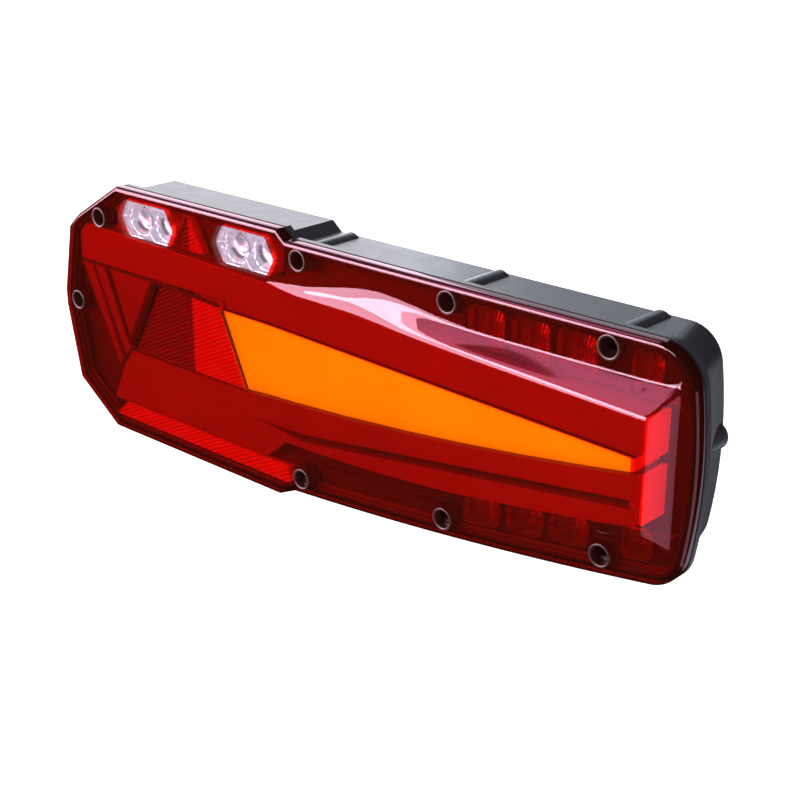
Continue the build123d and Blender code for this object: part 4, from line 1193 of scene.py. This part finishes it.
def facing_lamp(name, aim, direction, distance, size, power, colour=(1, 1, 1)):
    """Lamp at a distance from aim along a direction, facing it."""
    direction = unit(direction)
    turn = Vector(direction).to_track_quat("Z", "Y").to_euler()
    return area_lamp(name, np.array(aim) + direction * distance, turn, size, power, colour)


def mirrored(face_place, normal):
    """Place in metres of a point on a face, given in mm as (x, height, z), and the direction in which
    the face mirrors the camera there."""
    place, normal = np.array(face_place) * (MM, -MM, MM), unit(normal)
    view = unit(CAMERA_PLACE - place)
    return place, 2 * (normal @ view) * normal - view


def face_at(x, z):
    """Place (x, height, z in mm) and outward normal of the lens's outer face."""
    step, ease = 0.5, 0.05
    middle, across, above = (float(lens_height(*at, ease)) for at in ((x, z), (x + step, z), (x, z + step)))
    return (x, middle, z), (-(across - middle) / step, -1.0, -(above - middle) / step)


def mirror_box(name, face, distance, size, radiance, colour):
    """Lamp where a face (place and normal) mirrors it to the camera, with a given brightness."""
    lamp = facing_lamp(name, *mirrored(*face), distance, size, radiance * pi * size[0] * size[1], colour)
    lamp.visible_camera = False
    return lamp


def edged_box(name, corners, distance, depth, radiance, colour):
    """Lamp whose mirror image on the lens has one edge through two given places and reaches towards a
    third, each in mm as (x, z)."""
    rays = [mirrored(*face_at(*corner)) for corner in corners]
    start, end, side = (place + way * distance for place, way in rays)
    along, length = unit(end - start), np.linalg.norm(end - start) * 1.6
    across = unit(side - start - ((side - start) @ along) * along)
    middle = (start + end) / 2 + across * depth / 2
    away = np.cross(along, across)
    if away @ (middle - rays[-1][0]) < 0:
        along, away = -along, -away
    turn = Matrix([along, across, away]).transposed().to_euler()
    lamp = area_lamp(name, middle, turn, (length, depth), radiance * pi * length * depth, colour)
    lamp.visible_camera = False
    return lamp


class LAMP_OT_stage(bpy.types.Operator):
    """Pale floor, soft studio lamps and the camera"""

    bl_idname = "lamp.stage"
    bl_label = "Stage"

    def execute(self, context):
        self.camera(context.scene)
        self.floor(context.scene)
        self.world(context.scene)
        self.lamps()
        context.scene.view_settings.view_transform = "Standard"
        return {"FINISHED"}

    @staticmethod
    def camera(scene):
        """Camera that sees the lamp from the front, right and above."""
        camera = bpy.data.cameras.new("camera")
        camera.lens, camera.sensor_width = 67.5, 36.0
        camera.clip_start, camera.clip_end = 0.01, 50.0
        viewer = bpy.data.objects.new("camera", camera)
        viewer.location = CAMERA_PLACE
        viewer.rotation_euler = Euler((radians(90 - CAMERA_ELEVATION), 0, radians(CAMERA_AZIMUTH)))
        scene.collection.objects.link(viewer)
        scene.camera = viewer

    @staticmethod
    def floor(scene):
        """Wide flat sheet that shines a little by itself."""
        x, y = np.meshgrid([-FLOOR_HALF, 0.0, FLOOR_HALF], [-FLOOR_HALF, 0.0, FLOOR_HALF])
        mesh = bpy.data.meshes.new("floor")
        mesh.from_pydata(xhz(x, y, FLOOR_Z).reshape(-1, 3).tolist(), [], grid_faces(3, 3).tolist())
        floor = bpy.data.objects.new("floor", mesh)
        scene.collection.objects.link(floor)
        n = Nodes("pale_floor")
        tint = n.mix(n.range(n.noise(3.0), 0.3, 0.7), (0.93, 0.93, 0.93), (0.95, 0.95, 0.95))
        sheet = n.add("ShaderNodeBsdfDiffuse", {"Color": tint})
        lift = n.add("ShaderNodeEmission", {"Color": tint, "Strength": 0.62})
        both = n.add("ShaderNodeAddShader", {0: sheet.outputs[0], 1: lift.outputs[0]})
        mesh.materials.append(n.finish(both))
        floor.visible_glossy = False

    @staticmethod
    def world(scene):
        """World that lights softly and is white to the camera."""
        world = bpy.data.worlds.new("studio")
        scene.world = world
        world.use_nodes = True
        links, nodes = world.node_tree.links, world.node_tree.nodes
        light, paper = nodes["Background"], nodes.new("ShaderNodeBackground")
        for background, strength in ((light, 0.4), (paper, 1.0)):
            background.inputs[0].default_value = (1.0, 1.0, 1.0, 1.0)
            background.inputs[1].default_value = strength
        choice = nodes.new("ShaderNodeMixShader")
        links.new(nodes.new("ShaderNodeLightPath").outputs["Is Camera Ray"], choice.inputs[0])
        links.new(light.outputs[0], choice.inputs[1])
        links.new(paper.outputs[0], choice.inputs[2])
        links.new(choice.outputs[0], nodes["World Output"].inputs[0])
        world.cycles_visibility.glossy = False

    @staticmethod
    def lamps():
        """Lamps mirrored in the wedge's upper slope, lamps mirrored in the housing and the right end, and
        two soft boxes that only light."""
        span = np.array([52.0, 183.0, 110.0])
        crest, foot = crest_line(span), upper_foot(span) - pinch(span)
        level = foot + np.array([0.55, 0.2, 0.05]) * (crest - foot)
        foot_face = ((130.0, lens_face + 0.8, foot[2]), (0.02, -0.92, 0.39))
        middle_face = face_at(120.0, crest_line(120.0) + 2.0)
        swell_face = face_at(34.0, upper_foot(34.0) + 1.0)
        for lamp in (
            edged_box("slope_band_box", zip(span, level), 1.2, 0.45, 5.0, (1.0, 0.34, 0.52)),
            mirror_box("slope_veil_box", middle_face, 1.6, (1.6, 1.0), 0.9, (1.0, 0.25, 0.5)),
            mirror_box("swell_box", swell_face, 1.2, (1.3, 0.9), 14.0, (1.0, 0.66, 0.76)),
            mirror_box("foot_line_box", foot_face, 1.2, (1.2, 0.3), 16.0, (1.0, 0.9, 0.95)),
        ):
            lamp.visible_diffuse = False
        for name, place, normal, distance, size, radiance, colour in (
            ("top_left_box", (-120.0, 15.0, 66.0), (0, 0, 1), 1.2, (0.7, 0.9), 3.2, (0.93, 0.93, 1.0)),
            ("top_right_box", (130.0, 15.0, 61.0), (0, 0, 1), 1.2, (0.5, 0.9), 1.1, (0.85, 0.92, 1.0)),
            ("right_slope_box", (194.0, 49.0, 12.0), (0.83, -0.56, 0.0), 0.3, (0.3, 0.3), 2.4,
             (1.0, 0.45, 0.6)),
            ("right_end_box", (204.0, 20.0, 5.0), (1, 0.15, 0), 0.35, (0.12, 0.3), 0.9, (0.8, 0.9, 1.0)),
        ):
            mirror_box(name, (place, normal), distance, size, radiance, colour)
        for name, direction, size, power in (
            ("front_box", (0.2, -1.0, 0.9), (1.2, 0.6), 12.0),
            ("over_box", (-0.3, 0.2, 1.0), (1.2, 1.0), 11.0),
        ):
            facing_lamp(name, (0.0, -0.03, 0.0), direction, 1.6, size, power).visible_glossy = False


class LAMP_PT_panel(bpy.types.Panel):
    """Lists the lamp's pieces"""

    bl_idname = "LAMP_PT_panel"
    bl_label = "Tail lamp"
    bl_space_type = "VIEW_3D"
    bl_region_type = "UI"
    bl_category = "Lamp"

    def draw(self, context):
        for operator in OPERATORS:
            self.layout.operator(operator.bl_idname)


OPERATORS = (
    LAMP_OT_stage, LAMP_OT_finishes, LAMP_OT_lens, LAMP_OT_wells, LAMP_OT_edge_frame, LAMP_OT_bowls,
    LAMP_OT_cups, LAMP_OT_prisms, LAMP_OT_gap_shade, LAMP_OT_plates, LAMP_OT_housing,
)
CLASSES = (LampShape, LampColours, *OPERATORS, LAMP_PT_panel)


def register():
    """Adds the classes and the scene's settings."""
    for kind in CLASSES:
        bpy.utils.register_class(kind)
    bpy.types.Scene.lamp_shape = bpy.props.PointerProperty(type=LampShape)
    bpy.types.Scene.lamp_colours = bpy.props.PointerProperty(type=LampColours)


def unregister():
    """Removes the settings and the classes."""
    del bpy.types.Scene.lamp_colours
    del bpy.types.Scene.lamp_shape
    for kind in reversed(CLASSES):
        bpy.utils.unregister_class(kind)


def main():
    """Builds every piece."""
    register()
    for operator in OPERATORS:
        group, name = operator.bl_idname.split(".")
        getattr(getattr(bpy.ops, group), name)()


if __name__ == "__main__":
    main()
